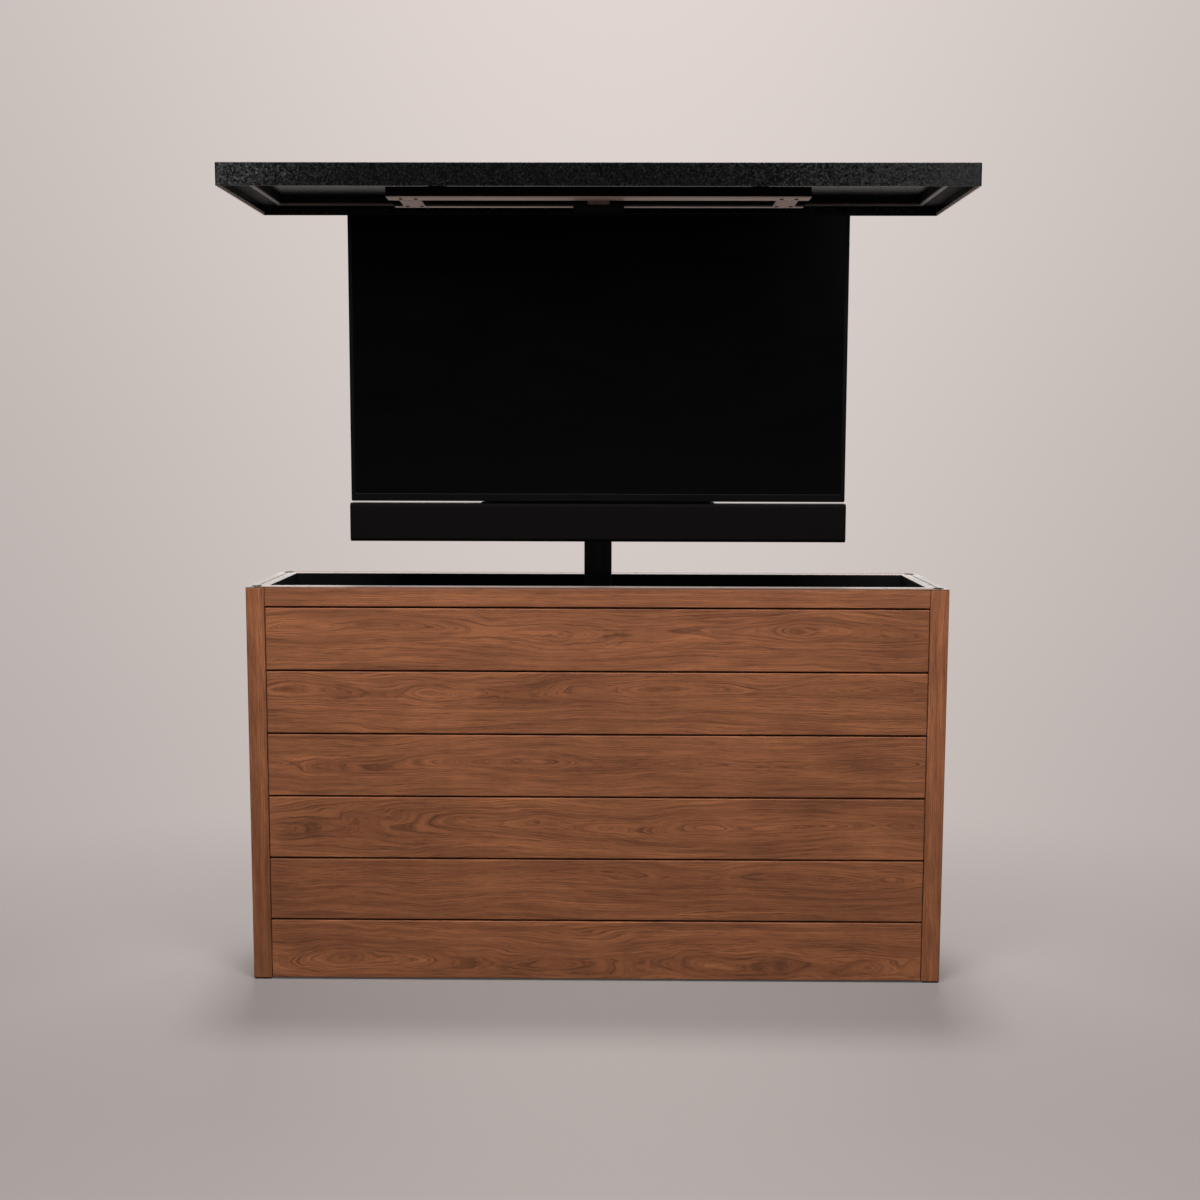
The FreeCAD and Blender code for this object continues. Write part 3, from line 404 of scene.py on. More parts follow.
def grille_cloth(slot, options):
    """Fine woven mesh over the speakers."""
    tree = Finish("fine_" + slot)
    x, y, z = tree.parts(tree.place)
    weave = 2 * math.pi / CLOTH_PITCH
    knit = tree.math("SINE", x * weave) * tree.math("SINE", (z + y) * weave)
    threads = tree.remap(knit, -1.0, 1.0, 0.0, 1.0)
    dark, pale = shade(options.cloth_colour, 0.35), shade(options.cloth_colour, 1.5)
    tree.dress(colour=tree.mix(threads, dark, pale), rough=0.82, gloss=0.07,
               normal=tree.bump(threads, 0.7, 0.3 * MM))
    return tree


def screen_glass(slot, options):
    """Black panel behind a coated front: hardly any reflection, faint smears."""
    tree = Finish("fine_" + slot)
    smear = tree.noise(tree.place, (3.0, 3.0, 7.0), 5.0, 0.6, 0.8)
    tree.dress(colour=tree.mix(smear, GLASS_DARK, GLASS_PALE),
               rough=tree.remap(smear, 0.3, 0.7, 0.14, 0.22), gloss=0.04)
    return tree


# slots that need more than the table
OWN_MAKERS = {"speckled_black_coat": speckled_coat, "grille_cloth": grille_cloth,
              "screen_glass": screen_glass, "light_flange": flange_metal, "carrier_steel": carrier_coat}


def finish_for(slot, options):
    """The material of a slot, made once."""
    made = bpy.data.materials.get("fine_" + slot)
    return made or OWN_MAKERS.get(slot, coated)(slot, options).material


# ---- Geometry ----

LID_RIM = 1.926                 # the CAD lid's lower edge
SHARP = math.radians(35.0)      # edges that turn further than this are rounded
FLAT = math.radians(0.4)        # faces that turn less than this are one face
LID_DROP = 3.7 * MM             # how much deeper the lid's wall is than the CAD lid's
NOTCH_SIZE = (56.0, 60.0, 30.0)
NOTCH_MIDDLE = (0.0, 2.0, 1916.0)


def new_object(name, mesh):
    made = bpy.data.objects.new(name, mesh)
    bpy.context.scene.collection.objects.link(made)
    return made


@contextmanager
def edited(mesh):
    """The mesh as a bmesh, which is written back at the end."""
    shape = bmesh.new()
    shape.from_mesh(mesh)
    yield shape
    shape.to_mesh(mesh)
    shape.free()


def settle(piece):
    """Turns the piece's modifiers into its mesh."""
    bpy.context.view_layer.update()
    graph = bpy.context.evaluated_depsgraph_get()
    mesh = bpy.data.meshes.new_from_object(
        piece.evaluated_get(graph), preserve_all_data_layers=True, depsgraph=graph)
    piece.modifiers.clear()
    piece.data = mesh
    if not len(mesh.polygons):
        raise RuntimeError(piece.name + " has no faces")
    return piece


def hand_over(piece, body, slot, *nodes):
    """The finished piece rides on its body and stands for its CAD nodes."""
    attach(piece, body)
    if nodes:
        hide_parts(*nodes)
    return piece


def loose_boxes(node):
    """The box of each separate solid in a CAD node."""
    shape = bmesh.new()
    shape.from_mesh(NODES[node].data)
    bmesh.ops.remove_doubles(shape, verts=shape.verts, dist=0.01 * MM)
    left, found = set(shape.verts), []
    while left:
        group, reached = set(), [next(iter(left))]
        while reached:
            vert = reached.pop()
            if vert in left:
                left.discard(vert)
                group.add(vert)
                reached += [edge.other_vert(vert) for edge in vert.link_edges]
        corners = [Vector([end(vert.co[axis] for vert in group) for axis in range(3)]) for end in (min, max)]
        found.append(corners)
    shape.free()
    return sorted(found, key=lambda pair: (-round(pair[0].z, 4), round(pair[0].x, 4), round(pair[0].y, 4)))


def point_cloud(name, points, **attributes):
    """Loose points with vector attributes."""
    mesh = bpy.data.meshes.new(name)
    mesh.from_pydata(points, [], [])
    for label, values in attributes.items():
        data = mesh.attributes.new(label, "FLOAT_VECTOR", "POINT").data
        data.foreach_set("vector", [part for value in values for part in value])
    return new_object(name, mesh)


def bevel(piece, width, segments):
    """Rounds the sharp edges."""
    made = piece.modifiers.new("edges", "BEVEL")
    made.width = width
    made.segments = segments
    made.limit_method = "ANGLE"
    made.angle_limit = SHARP
    made.use_clamp_overlap = True
    level = piece.modifiers.new("even", "WEIGHTED_NORMAL")
    level.weight = 100
    level.keep_sharp = True


def new_group(name, *sockets):
    """A geometry node tree with the named inputs; returns it with its inputs and its output socket."""
    group = bpy.data.node_groups.new(name, "GeometryNodeTree")
    for label, kind in (("Geometry", "Geometry"), *sockets):
        group.interface.new_socket(label, in_out="INPUT", socket_type="NodeSocket" + kind)
    group.interface.new_socket("Geometry", in_out="OUTPUT", socket_type="NodeSocketGeometry")
    tree = Tree(group)
    return tree, tree.outputs("NodeGroupInput"), tree.node("NodeGroupOutput").inputs[0]


def close_group(tree, given, result, instances):
    """Every tree ends the same way: real geometry, painted."""
    real = tree.out("GeometryNodeRealizeInstances", {"Geometry": instances})
    tree.put(result, tree.out("GeometryNodeSetMaterial", {"Geometry": real, "Material": given["Material"]}))
    return tree.tree


def stored(tree, instances, name, vector):
    """The instances, each with the vector as a named attribute."""
    values = {"Geometry": instances, "Name": name, "Value": vector}
    return tree.out("GeometryNodeStoreNamedAttribute", values, data_type="FLOAT_VECTOR", domain="INSTANCE")


def named(tree, name):
    """The vector that a point has under this name."""
    return tree.out("GeometryNodeInputNamedAttribute", {"Name": name}, data_type="FLOAT_VECTOR")


def on_points(tree, mesh, thing, **values):
    """Puts the thing on each corner of the mesh."""
    points = tree.out("GeometryNodeMeshToPoints", {"Mesh": mesh})
    return tree.out("GeometryNodeInstanceOnPoints", {"Points": points, "Instance": thing, **values})


def board_tree():
    """One board on each point, sized by the point's board_size, each with its own draw."""
    tree, given, result = new_group("boards", ("Seed", "Int"), ("Material", "Material"))
    cube = tree.out("GeometryNodeMeshCube", {"Size": (1.0, 1.0, 1.0)}, "Mesh")
    cube = tree.out("GeometryNodeSetShadeSmooth", {"Geometry": cube, "Shade Smooth": True})
    boards = on_points(tree, given["Geometry"], cube, Scale=named(tree, "board_size"))
    boards = stored(tree, boards, "board_centre", tree.out("GeometryNodeInputPosition"))
    draw = tree.out("FunctionNodeRandomValue", {"Seed": given["Seed"]}, data_type="FLOAT_VECTOR")
    boards = stored(tree, boards, "board_draw", draw)
    return close_group(tree, given, result, boards)


def head_tree():
    """One screw or bolt head on each point, sized by head_size, its axis along facing."""
    tree, given, result = new_group(
        "heads", ("Sides", "Int"), ("Socket width", "Float"), ("Socket depth", "Float"),
        ("Material", "Material"))
    stub_height, rim_height, rim_width = 0.8, 0.2, 0.82     # shares of the head's height and width
    values = {"Vertices": given["Sides"], "Radius": 1.0, "Depth": stub_height}
    stub = tree.outputs("GeometryNodeMeshCylinder", values, fill_type="NGON")
    values = {"Geometry": stub["Mesh"], "Translation": (0, 0, stub_height / 2)}
    mesh = tree.out("GeometryNodeTransform", values)
    top = stub["Top"]
    for rise, width in ((rim_height, rim_width), (0.0, given["Socket width"])):
        values = {"Mesh": mesh, "Selection": top, "Offset Scale": rise}
        raised = tree.outputs("GeometryNodeExtrudeMesh", values)
        top = raised["Top"]
        values = {"Geometry": raised["Mesh"], "Selection": top, "Scale": width}
        mesh = tree.out("GeometryNodeScaleElements", values, domain="FACE")
    values = {"Mesh": mesh, "Selection": top, "Offset Scale": given["Socket depth"]}
    mesh = tree.out("GeometryNodeExtrudeMesh", values, "Mesh")
    turn = tree.out("FunctionNodeAlignRotationToVector", {"Vector": named(tree, "facing")}, axis="Z")
    heads = on_points(tree, given["Geometry"], mesh, Rotation=turn, Scale=named(tree, "head_size"))
    return close_group(tree, given, result, heads)


def rib_tree():
    """Rows and columns of small ribs that stand on a wall facing the rear."""
    tree, given, result = new_group(
        "ribs", ("Width", "Float"), ("Height", "Float"), ("Columns", "Int"), ("Rows", "Int"),
        ("Rib", "Vector"), ("Centre", "Vector"), ("Material", "Material"))
    values = {"Size X": given["Width"], "Size Y": given["Height"], "Vertices X": given["Columns"],
              "Vertices Y": given["Rows"]}
    values = {"Geometry": tree.out("GeometryNodeMeshGrid", values, "Mesh"), "Rotation": (math.pi / 2, 0, 0),
              "Translation": given["Centre"]}
    cube = tree.out("GeometryNodeMeshCube", {"Size": given["Rib"]}, "Mesh")
    ribs = on_points(tree, tree.out("GeometryNodeTransform", values), cube)
    return close_group(tree, given, result, ribs)


def thread_tree():
    """Cuts a thread of several starts into the outer wall of a turned shaft."""
    tree, given, result = new_group(
        "thread", ("Lead", "Float"), ("Starts", "Float"), ("Depth", "Float"), ("Outer radius", "Float"),
        ("Axis", "Vector"), ("Bottom", "Float"), ("Top", "Float"), ("Material", "Material"))
    x, y, z = tree.parts(tree.vector("SUBTRACT", tree.out("GeometryNodeInputPosition"), given["Axis"]))
    turn = tree.math("ARCTAN2", y, x) / (2 * math.pi)
    phase = tree.math("FRACT", (z / given["Lead"] - turn) * given["Starts"])
    groove = tree.remap(abs(phase - 0.5), 0.15, 0.32, 1.0, 0.0)
    outward = tree.join(x, y, 0.0)
    on_wall = tree.vector("LENGTH", outward) > given["Outer radius"] * 0.97
    on_thread = (z > given["Bottom"]) * (z < given["Top"])
    cut = groove * given["Depth"] * (on_wall * on_thread)
    shift = tree.scaled(tree.vector("NORMALIZE", outward), cut * -1.0)
    moved = tree.out("GeometryNodeSetPosition", {"Geometry": given["Geometry"], "Offset": shift})
    return close_group(tree, given, result, moved)


def grown(piece, maker, **values):
    """Puts a node tree on the piece and sets its inputs by their names, with _ for a space."""
    name = maker.__name__
    modifier = piece.modifiers.new(name, "NODES")
    modifier.node_group = bpy.data.node_groups.get(name) or maker()
    modifier.node_group.name = name
    for item in modifier.node_group.interface.items_tree:
        label = item.name.replace(" ", "_")
        if item.item_type == "SOCKET" and item.in_out == "INPUT" and label in values:
            modifier[item.identifier] = values.pop(label)
    if values:
        raise RuntimeError("no input named " + ", ".join(values))
    return piece


def timber(node, material, seed, radius, segments):
    """New boards in place of a CAD node's, with the same boxes."""
    boxes = loose_boxes(node)
    centres = [(low + high) / 2 for low, high in boxes]
    piece = point_cloud(node + "_wood", centres, board_size=[high - low for low, high in boxes])
    grown(piece, board_tree, Seed=seed, Material=material)
    bevel(piece, radius, segments)
    return hand_over(settle(piece), BODY_OF[node], "wood_cladding", node)


def lower_rim(shape):
    """Makes the lid's wall a little deeper than the CAD lid's."""
    for vert in shape.verts:
        if vert.co.z < LID_RIM + 0.2 * MM:
            vert.co.z -= LID_DROP


def notch_head(piece):
    """Opens the front of the head plate over the carrier's middle rung."""
    cutter = new_object("cutter", bpy.data.meshes.new("cutter"))
    with edited(cutter.data) as shape:
        bmesh.ops.create_cube(shape, size=1.0)
        for vert in shape.verts:
            corner = [part * size + middle for part, size, middle in zip(vert.co, NOTCH_SIZE, NOTCH_MIDDLE)]
            vert.co = Vector(corner) * MM
    made = piece.modifiers.new("notch", "BOOLEAN")
    made.object = cutter
    made.solver = "EXACT"
    settle(piece)
    bpy.data.objects.remove(cutter)


def softened(node, width, material):
    """A CAD node's shape with rounded edges."""
    mesh = NODES[node].data.copy()
    with edited(mesh) as shape:
        bmesh.ops.remove_doubles(shape, verts=shape.verts, dist=0.005 * MM)
        bmesh.ops.dissolve_limit(shape, angle_limit=FLAT, verts=shape.verts, edges=shape.edges)
        bmesh.ops.recalc_face_normals(shape, faces=shape.faces)
        if node == "lid_shell":
            lower_rim(shape)
        for face in shape.faces:
            face.smooth = True
        for edge in shape.edges:
            edge.smooth = edge.is_manifold and edge.calc_face_angle() < SHARP
    if mesh.attributes.get("custom_normal"):
        mesh.attributes.remove(mesh.attributes["custom_normal"])
    piece = new_object(node + "_soft", mesh)
    if node == "column_head":
        notch_head(piece)
    bevel(piece, width, 2)
    settle(piece)
    piece.data.materials.clear()
    piece.data.materials.append(material)
    return hand_over(piece, BODY_OF[node], SLOT_OF[node], node)


def turned(name, rings, segments, axis):
    """A turned body from rings of (radius, height) in metres; the last ring joins the first."""
    vertices, faces = [], []
    for radius, height in rings:
        for step in range(segments):
            angle = 2 * math.pi * step / segments
            vertices.append((axis[0] + radius * math.cos(angle), axis[1] + radius * math.sin(angle), height))
    count = len(rings)
    for ring in range(count):
        for step in range(segments):
            after = (step + 1) % segments
            here, above = ring * segments, (ring + 1) % count * segments
            faces.append((here + step, here + after, above + after, above + step))
    mesh = bpy.data.meshes.new(name)
    mesh.from_pydata(vertices, [], faces)
    with edited(mesh) as shape:
        bmesh.ops.remove_doubles(shape, verts=shape.verts, dist=0.001 * MM)
        bmesh.ops.recalc_face_normals(shape, faces=shape.faces)
    return new_object(name, mesh)


# ---- Sizes and colours ----

def a_number(name, description, default, least=0.0, unit="NONE", **more):
    return FloatProperty(name=name, description=description, default=default, min=least, unit=unit, **more)


def a_length(name, description, default, least=0.0002):
    return a_number(name, description, default, least, "LENGTH")


def a_power(name, description, default):
    return a_number(name, description, default, unit="POWER")


def a_colour(name, description, default):
    return FloatVectorProperty(
        name=name, description=description, default=default, min=0.0, max=1.0, subtype="COLOR")


class WoodSettings(PropertyGroup):
    """Sizes and colours of the boards."""
    edge_radius: a_length("Edge radius", "Rounding of board edges", 0.0025)
    post_radius: a_length("Post edge radius", "Rounding of post edges", 0.003)
    edge_segments: IntProperty(
        name="Edge segments", description="Faces across a rounded edge", default=3, min=1, max=8)
    ring_spacing: a_length("Ring spacing", "Distance between growth rings", 0.0048, 0.001)
    seed: IntProperty(name="Seed", description="Draw of the grain", default=11, min=0)
    light_wood: a_colour("Early wood", "Colour between the rings", (0.382, 0.140, 0.0585))
    dark_wood: a_colour("Late wood", "Colour of the rings", (0.124, 0.043, 0.0190))
    pore_colour: a_colour("Pores", "Colour of the pores", (0.045, 0.017, 0.010))


class CoatSettings(PropertyGroup):
    """Colours of the coats, the rounding of metal edges and the spindles' thread."""
    metal_edge: a_length("Metal edge", "Rounding of sheet and tube edges", 0.0008, 0.0001)
    plastic_edge: a_length("Plastic edge", "Rounding of moulded edges", 0.0012, 0.0001)
    thread_step: a_length("Thread step", "Height of one ring of faces on a spindle", 0.0009)
    thread_lead: a_length("Thread lead", "Rise of the thread in one turn", 0.016, 0.002)
    coat_tilt: a_number("Coat tilt", "How far the coat's facets tilt", 0.14, max=2.0)
    coat_colour: a_colour("Coat", "Ground colour of the lid's coat", (0.0014, 0.0014, 0.0016))
    fleck_colour: a_colour("Flecks", "Colour of the flecks in the coat", (0.006, 0.006, 0.0065))
    # painted reflection of the floor on the lid's lower side edges
    bare_edge: a_colour("Bare edge", "Colour of the lid's lower side edges", (0.95, 0.80, 0.72))
    # painted reflection of the floor on the carrier's lower faces
    bare_carrier: a_colour("Bare carrier", "Colour of the carrier's lower faces", (0.66, 0.48, 0.41))
    cloth_colour: a_colour("Cloth", "Colour of the soundbar's cloth", (0.0019, 0.0014, 0.0013))


class StageSettings(PropertyGroup):
    """Light, floor and camera."""
    front_power: a_power("Front lamp", "Power of the high front lamp", 265.0)
    strip_power: a_power("Side strips", "Power of each side strip", 34.0)
    top_strength: a_number("Top lamp", "Strength of the overhead lamp", 2.15)
    top_angle: a_number(
        "Top lamp angle", "Spread of the overhead lamp's light", 0.11, unit="ROTATION", subtype="ANGLE")
    glint_power: a_power("Glint lamp", "Power of the small lamp near the lid's left end", 1.5)
    sheen_power: a_power("Sheen lamp", "Power of the soft lamp before the lid's right end", 9.0)
    rear_power: a_power("Rear lamp", "Power of the high rear lamp", 200.0)
    ambient: a_number("Ambient", "Level of the light from all round", 0.05)
    floor_radius: a_length("Floor radius", "Radius of the floor disc", 250.0, 5.0)
    focal_length: a_number("Focal length", "Lens of the camera, in millimetres", 46.278, 10.0)


class TvCabinetSettings(PropertyGroup):
    """All settings of the cabinet's finish."""
    wood: PointerProperty(type=WoodSettings)
    coats: PointerProperty(type=CoatSettings)
    stage: PointerProperty(type=StageSettings)


# ---- Boards and posts ----

WOOD_NODES = sorted(node for node, slot in SLOT_OF.items() if slot == "wood_cladding")
BOARD_FIGURE, RAIL_FIGURE, POST_FIGURE = 1.0, 0.22, 0.3
SEED_STEP = 7
FIRST_POST_SEED = 101


class TVCABINET_OT_boards(Operator):
    """Makes the boards and top rails"""
    bl_idname = "tvcabinet.boards"
    bl_label = "Boards and rails"

    def execute(self, context):
        options = context.scene.tv_cabinet.wood
        looks = {}
        for figure, kind in ((BOARD_FIGURE, "boards"), (RAIL_FIGURE, "rail")):
            looks[kind, "XZY"] = wood("fine_wood_" + kind, "XZY", options, figure)
            looks[kind, "YZX"] = wood("fine_wood_" + kind + "_side", "YZX", options, figure)
        for index, node in enumerate(node for node in WOOD_NODES if "post" not in node):
            order = "YZX" if "left" in node or "right" in node else "XZY"
            material = looks["rail" if "rail" in node else "boards", order]
            seed = options.seed + SEED_STEP * index
            timber(node, material, seed, options.edge_radius, options.edge_segments)
        return {"FINISHED"}


class TVCABINET_OT_posts(Operator):
    """Makes the corner posts"""
    bl_idname = "tvcabinet.posts"
    bl_label = "Corner posts"

    def execute(self, context):
        options = context.scene.tv_cabinet.wood
        upright = wood("fine_wood_post", "ZXY", options, POST_FIGURE)
        for index, node in enumerate(node for node in WOOD_NODES if "post" in node):
            seed = options.seed + FIRST_POST_SEED + SEED_STEP * index
            timber(node, upright, seed, options.post_radius, options.edge_segments)
        return {"FINISHED"}


# ---- Metal and mouldings ----

METAL_NODES = (
    "top_flange", "service_panel", "lift_base_plate", "outer_column", "middle_column", "inner_column",
    "column_head", "mount_spine", "mount_rails", "screen_hooks", "soundbar_bracket", "lid_shell", "lid_frame",
    "lid_carrier", "drive_gearbox",
)
PLASTIC_NODES = (
    "control_box", "screen_bezel", "screen_back_cover", "soundbar_housing", "soundbar_grille", "post_plugs",
    "lid_gasket", "lid_lining",
)
# nodes whose finish isn't the one of their slot
OWN_FINISH = {"screen_back_cover": "rear_moulding", "lid_frame": "frame_coat", "post_plugs": "plug_plastic",
              "lid_carrier": "carrier_steel"}


def soften_all(nodes, width, options):
    for node in nodes:
        softened(node, width, finish_for(OWN_FINISH.get(node, SLOT_OF[node]), options))


class TVCABINET_OT_metal(Operator):
    """Rounds the edges of sheet metal, tubes and castings"""
    bl_idname = "tvcabinet.metal"
    bl_label = "Metal parts"

    def execute(self, context):
        options = context.scene.tv_cabinet.coats
        soften_all(METAL_NODES, options.metal_edge, options)
        return {"FINISHED"}


class TVCABINET_OT_mouldings(Operator):
    """Rounds the edges of moulded parts"""
    bl_idname = "tvcabinet.mouldings"
    bl_label = "Moulded parts"

    def execute(self, context):
        options = context.scene.tv_cabinet.coats
        soften_all(PLASTIC_NODES, options.plastic_edge, options)
        return {"FINISHED"}


# ---- Screws and bolts ----

REAR, UP, DOWN = (0, 1, 0), (0, 0, 1), (0, 0, -1)


def grid(xs, ys, zs):
    return [(x, y, z) for x in xs for y in ys for z in zs]


# in millimetres; socket holds the drive's width and rise, as shares of the head
Heads = namedtuple("Heads", "body facing radius height spots slot sides socket",
                   defaults=("black_steel", 12, (0.5, -0.5)))
FASTENERS = {
    "service_panel_screws": Heads(
        "cabinet", REAR, 4.5, 2.4,
        grid((-308, 308), (208,), (20, 130, 240, 350, 451)) + grid((-155, 0, 155), (208,), (20, 451))),
    "flange_screws": Heads(
        "cabinet", UP, 4.0, 0.4,
        grid(range(-700, 701, 200), (-186, 186), (980,)) + grid((-826, 826), (-90, 0, 90), (980,)),
        "light_flange"),
    "base_bolts": Heads(
        "cabinet", UP, 9.0, 6.0, grid((-158, 158), (-6, 130), (53,)), "galvanised_tube", 6, (0.8, 0.02)),
    "gearbox_screws": Heads("cabinet", UP, 3.2, 2.4, grid((-29, 29), (33, 91), (121,))),
    "spine_bolts": Heads(
        "carriage", REAR, 6.0, 2.2, grid((-44, 44), (17,), (1112, 1150, 1322, 1349, 1722, 1749, 1895))),
    "hook_bolts": Heads("carriage", REAR, 6.0, 3.0, grid((-200, 200), (-8,), (1385, 1535, 1685))),
    "cover_screws": Heads("carriage", REAR, 4.0, 1.0, grid((-440, -120, 120, 440), (-18,), (1250, 1770))),
    "carrier_screws": Heads("carriage", DOWN, 5.0, 2.0, grid((-483, -447, 447, 483), (-62, 62), (1920,))),
}


class TVCABINET_OT_fasteners(Operator):
    """Sets screw and bolt heads on the metal parts"""
    bl_idname = "tvcabinet.fasteners"
    bl_label = "Screws and bolts"

    def execute(self, context):
        options = context.scene.tv_cabinet.coats
        for name, kind in FASTENERS.items():
            points = [Vector(spot) * MM for spot in kind.spots]
            size = Vector((kind.radius, kind.radius, kind.height)) * MM
            count = len(points)
            piece = point_cloud(name, points, facing=[kind.facing] * count, head_size=[size] * count)
            grown(piece, head_tree, Sides=kind.sides, Socket_width=kind.socket[0],
                  Socket_depth=kind.socket[1], Material=finish_for(kind.slot, options))
            hand_over(settle(piece), kind.body, kind.slot)
        return {"FINISHED"}


# ---- Spindles ----

COLUMN_AXIS = Vector((0.0, 62.0, 0.0)) * MM
THREAD_STARTS = 4.0
THREAD_DEPTH = 1.1 * MM
SPINDLE_CHAMFER = 0.6 * MM
SPLINE_LENGTH = 30.0 * MM
SPINDLE_SIDES = 24
# node: outer radius, bore's radius, plain length at the bottom and at the top, in millimetres
SPINDLES = {"lower_spindle": (8.0, 0.0, 45.0, 36.0), "upper_spindle": (13.0, 9.0, 18.0, 2.0)}


def spindle_rings(low, high, radius, bore, step):
    """Rings of (radius, height) up the wall, then down the bore or over the thicker splined tip."""
    count = int((high.z - low.z) / step)
    wall = [(radius, low.z + (high.z - low.z) * index / count) for index in range(1, count)]
    rings = [(radius - SPINDLE_CHAMFER, low.z), (radius, low.z + SPINDLE_CHAMFER)] + wall
    shoulder = high.z - SPINDLE_CHAMFER
    if bore:
        return rings + [(radius, shoulder), (radius - SPINDLE_CHAMFER, high.z), (bore, high.z), (bore, low.z)]
    ridge = (high - low).x / 2
    tip = high.z - SPLINE_LENGTH
    rings = [ring for ring in rings if ring[1] < tip]
    rings += [(ridge, tip), (ridge, shoulder), (ridge - SPINDLE_CHAMFER, high.z)]
    return rings + [(0.0, high.z), (0.0, low.z)]


class TVCABINET_OT_spindles(Operator):
    """Cuts the threads of the two spindles"""
    bl_idname = "tvcabinet.spindles"
    bl_label = "Spindles"

    def execute(self, context):
        options = context.scene.tv_cabinet.coats
        for node, sizes in SPINDLES.items():
            radius, bore, plain_bottom, plain_top = [size * MM for size in sizes]
            low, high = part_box(node)
            rings = spindle_rings(low, high, radius, bore, options.thread_step)
            piece = turned(node + "_thread", rings, SPINDLE_SIDES, COLUMN_AXIS)
            grown(piece, thread_tree, Lead=options.thread_lead, Starts=THREAD_STARTS, Depth=THREAD_DEPTH,
                  Outer_radius=radius, Axis=COLUMN_AXIS, Bottom=low.z + plain_bottom, Top=high.z - plain_top,
                  Material=finish_for(SLOT_OF[node], options))
            hand_over(settle(piece), BODY_OF[node], SLOT_OF[node], node)
        return {"FINISHED"}


# ---- Vent ribs, in millimetres ----

RIB_SIZE = (4.0, 0.9, 29.0)
RIB_PITCH, RIB_ROW_PITCH = 8.0, 36.0
RIB_DEPTH = -17.7       # the y of the ribs' middle
RIB_FIELDS = (("left", -340, 24), ("middle", 0, 40), ("right", 340, 24))    # name, middle, columns
RIB_ROWS = (("screen_ribs_", 1680, 3), ("screen_low_ribs_", 1262, 1))       # name, middle height, rows


class TVCABINET_OT_vents(Operator):
    """Sets vent ribs on the back of the screen"""
    bl_idname = "tvcabinet.vents"
    bl_label = "Vent ribs"

    def execute(self, context):
        material = finish_for("screen_plastic", context.scene.tv_cabinet.coats)
        for side, x, columns in RIB_FIELDS:
            for prefix, z, rows in RIB_ROWS:
                piece = point_cloud(prefix + side, [])
                grown(piece, rib_tree, Width=(columns - 1) * RIB_PITCH * MM,
                      Height=(rows - 1) * RIB_ROW_PITCH * MM, Columns=columns, Rows=rows,
                      Rib=Vector(RIB_SIZE) * MM, Centre=Vector((x, RIB_DEPTH, z)) * MM, Material=material)
                hand_over(settle(piece), "carriage", "screen_plastic")
        return {"FINISHED"}


class TVCABINET_OT_coats(Operator):
    """Paints the CAD parts that are shown as they are"""
    bl_idname = "tvcabinet.coats"
    bl_label = "Coats"

    def execute(self, context):
        options = context.scene.tv_cabinet.coats
        for name, node in NODES.items():
            if node.hide_render:
                continue
            for index in range(len(node.data.materials)):
                node.data.materials[index] = finish_for(SLOT_OF[name], options)
        return {"FINISHED"}


# ---- Stage ----

CAMERA_SPOT = Vector((0.0465, -3.9117, 1.3566))
CAMERA_PITCH, CAMERA_YAW, CAMERA_ROLL = 0.10905, -0.01033, 0.0025
SENSOR_WIDTH = 36.0
TINT = (1.0, 0.897, 0.856)
# slope of the line of sight: brightness
BACKDROP = (
    (-0.75, 0.38), (-0.513, 0.446), (-0.449, 0.476), (-0.421, 0.493), (-0.352, 0.5255), (-0.31, 0.544),
    (-0.243, 0.605), (-0.176, 0.619), (-0.11, 0.641), (0.0, 0.670), (0.1145, 0.707), (0.2588, 0.745),
    (0.6, 0.76),
)
VIGNETTE = 0.305        # how far the sides darken
VIGNETTE_GROWTH = 7.6
FRONT_SHEEN = 0.06      # what glossy faces see in front of the cabinet, as a share of the backdrop
FLOOR_LIT_SHARE = 0.9
REAR_LIT_SHARE = 0.5    # of that, behind the cabinet
REAR_FADE = (-0.25, 0.35)
FLOOR_ALBEDO = 0.415    # of the backdrop's colour
BOUNCE_ALBEDO = 0.142
NEAR_EDGE = -1.25       # from here on, the floor grows pale both ways
NEAR_BLEND = 0.2
LIT_MIDDLE, LIT_SQUEEZE = 0.4, 1.3
LIT_RADIUS, LIT_END = 1.5, 2.8
# name, place, target, width and height, setting with its power
SOFTBOXES = (
    ("front_lamp", (0.0, -2.1, 4.4), (0.0, 0.0, 0.8), (3.6, 1.4), "front_power"),
    ("rear_lamp", (0.0, 3.4, 4.2), (0.0, 0.0, 0.9), (3.2, 1.6), "rear_power"),
    ("glint_lamp", (-1.35, -1.7, 2.19), (-0.89, -0.25, 1.95), (0.3, 0.3), "glint_power"),
    ("sheen_lamp", (1.95, -3.9, 2.5), (0.89, -0.25, 1.95), (1.6, 1.0), "sheen_power"),
    ("side_strip_left", (-2.3, -3.9, 3.9), (-0.6, 0.0, 1.2), (0.9, 0.9), "strip_power"),
    ("side_strip_right", (2.3, -3.9, 3.9), (0.6, 0.0, 1.2), (0.9, 0.9), "strip_power"),
)
TOP_LAMP_SPOT = (0.0, 0.159, 1.0)


def backdrop_colour(tree, sight):
    """The background's colour along a line of sight from the camera's place."""
    across, ahead, rise = tree.parts(sight)
    level = tree.larger(tree.math("SQRT", across ** 2.0 + ahead ** 2.0), 0.001)
    lowest, highest = BACKDROP[0][0], BACKDROP[-1][0]
    slope = tree.remap(rise / level, lowest, highest, 0.0, 1.0)
    stops = [((place - lowest) / (highest - lowest), shade(TINT, value)) for place, value in BACKDROP]
    fall = tree.math("EXPONENT", (across / level) ** 2.0 * -VIGNETTE_GROWTH)
    return tree.scaled(tree.ramp(slope, stops), tree.remap(fall, 0.0, 1.0, 1.0 - VIGNETTE, 1.0))


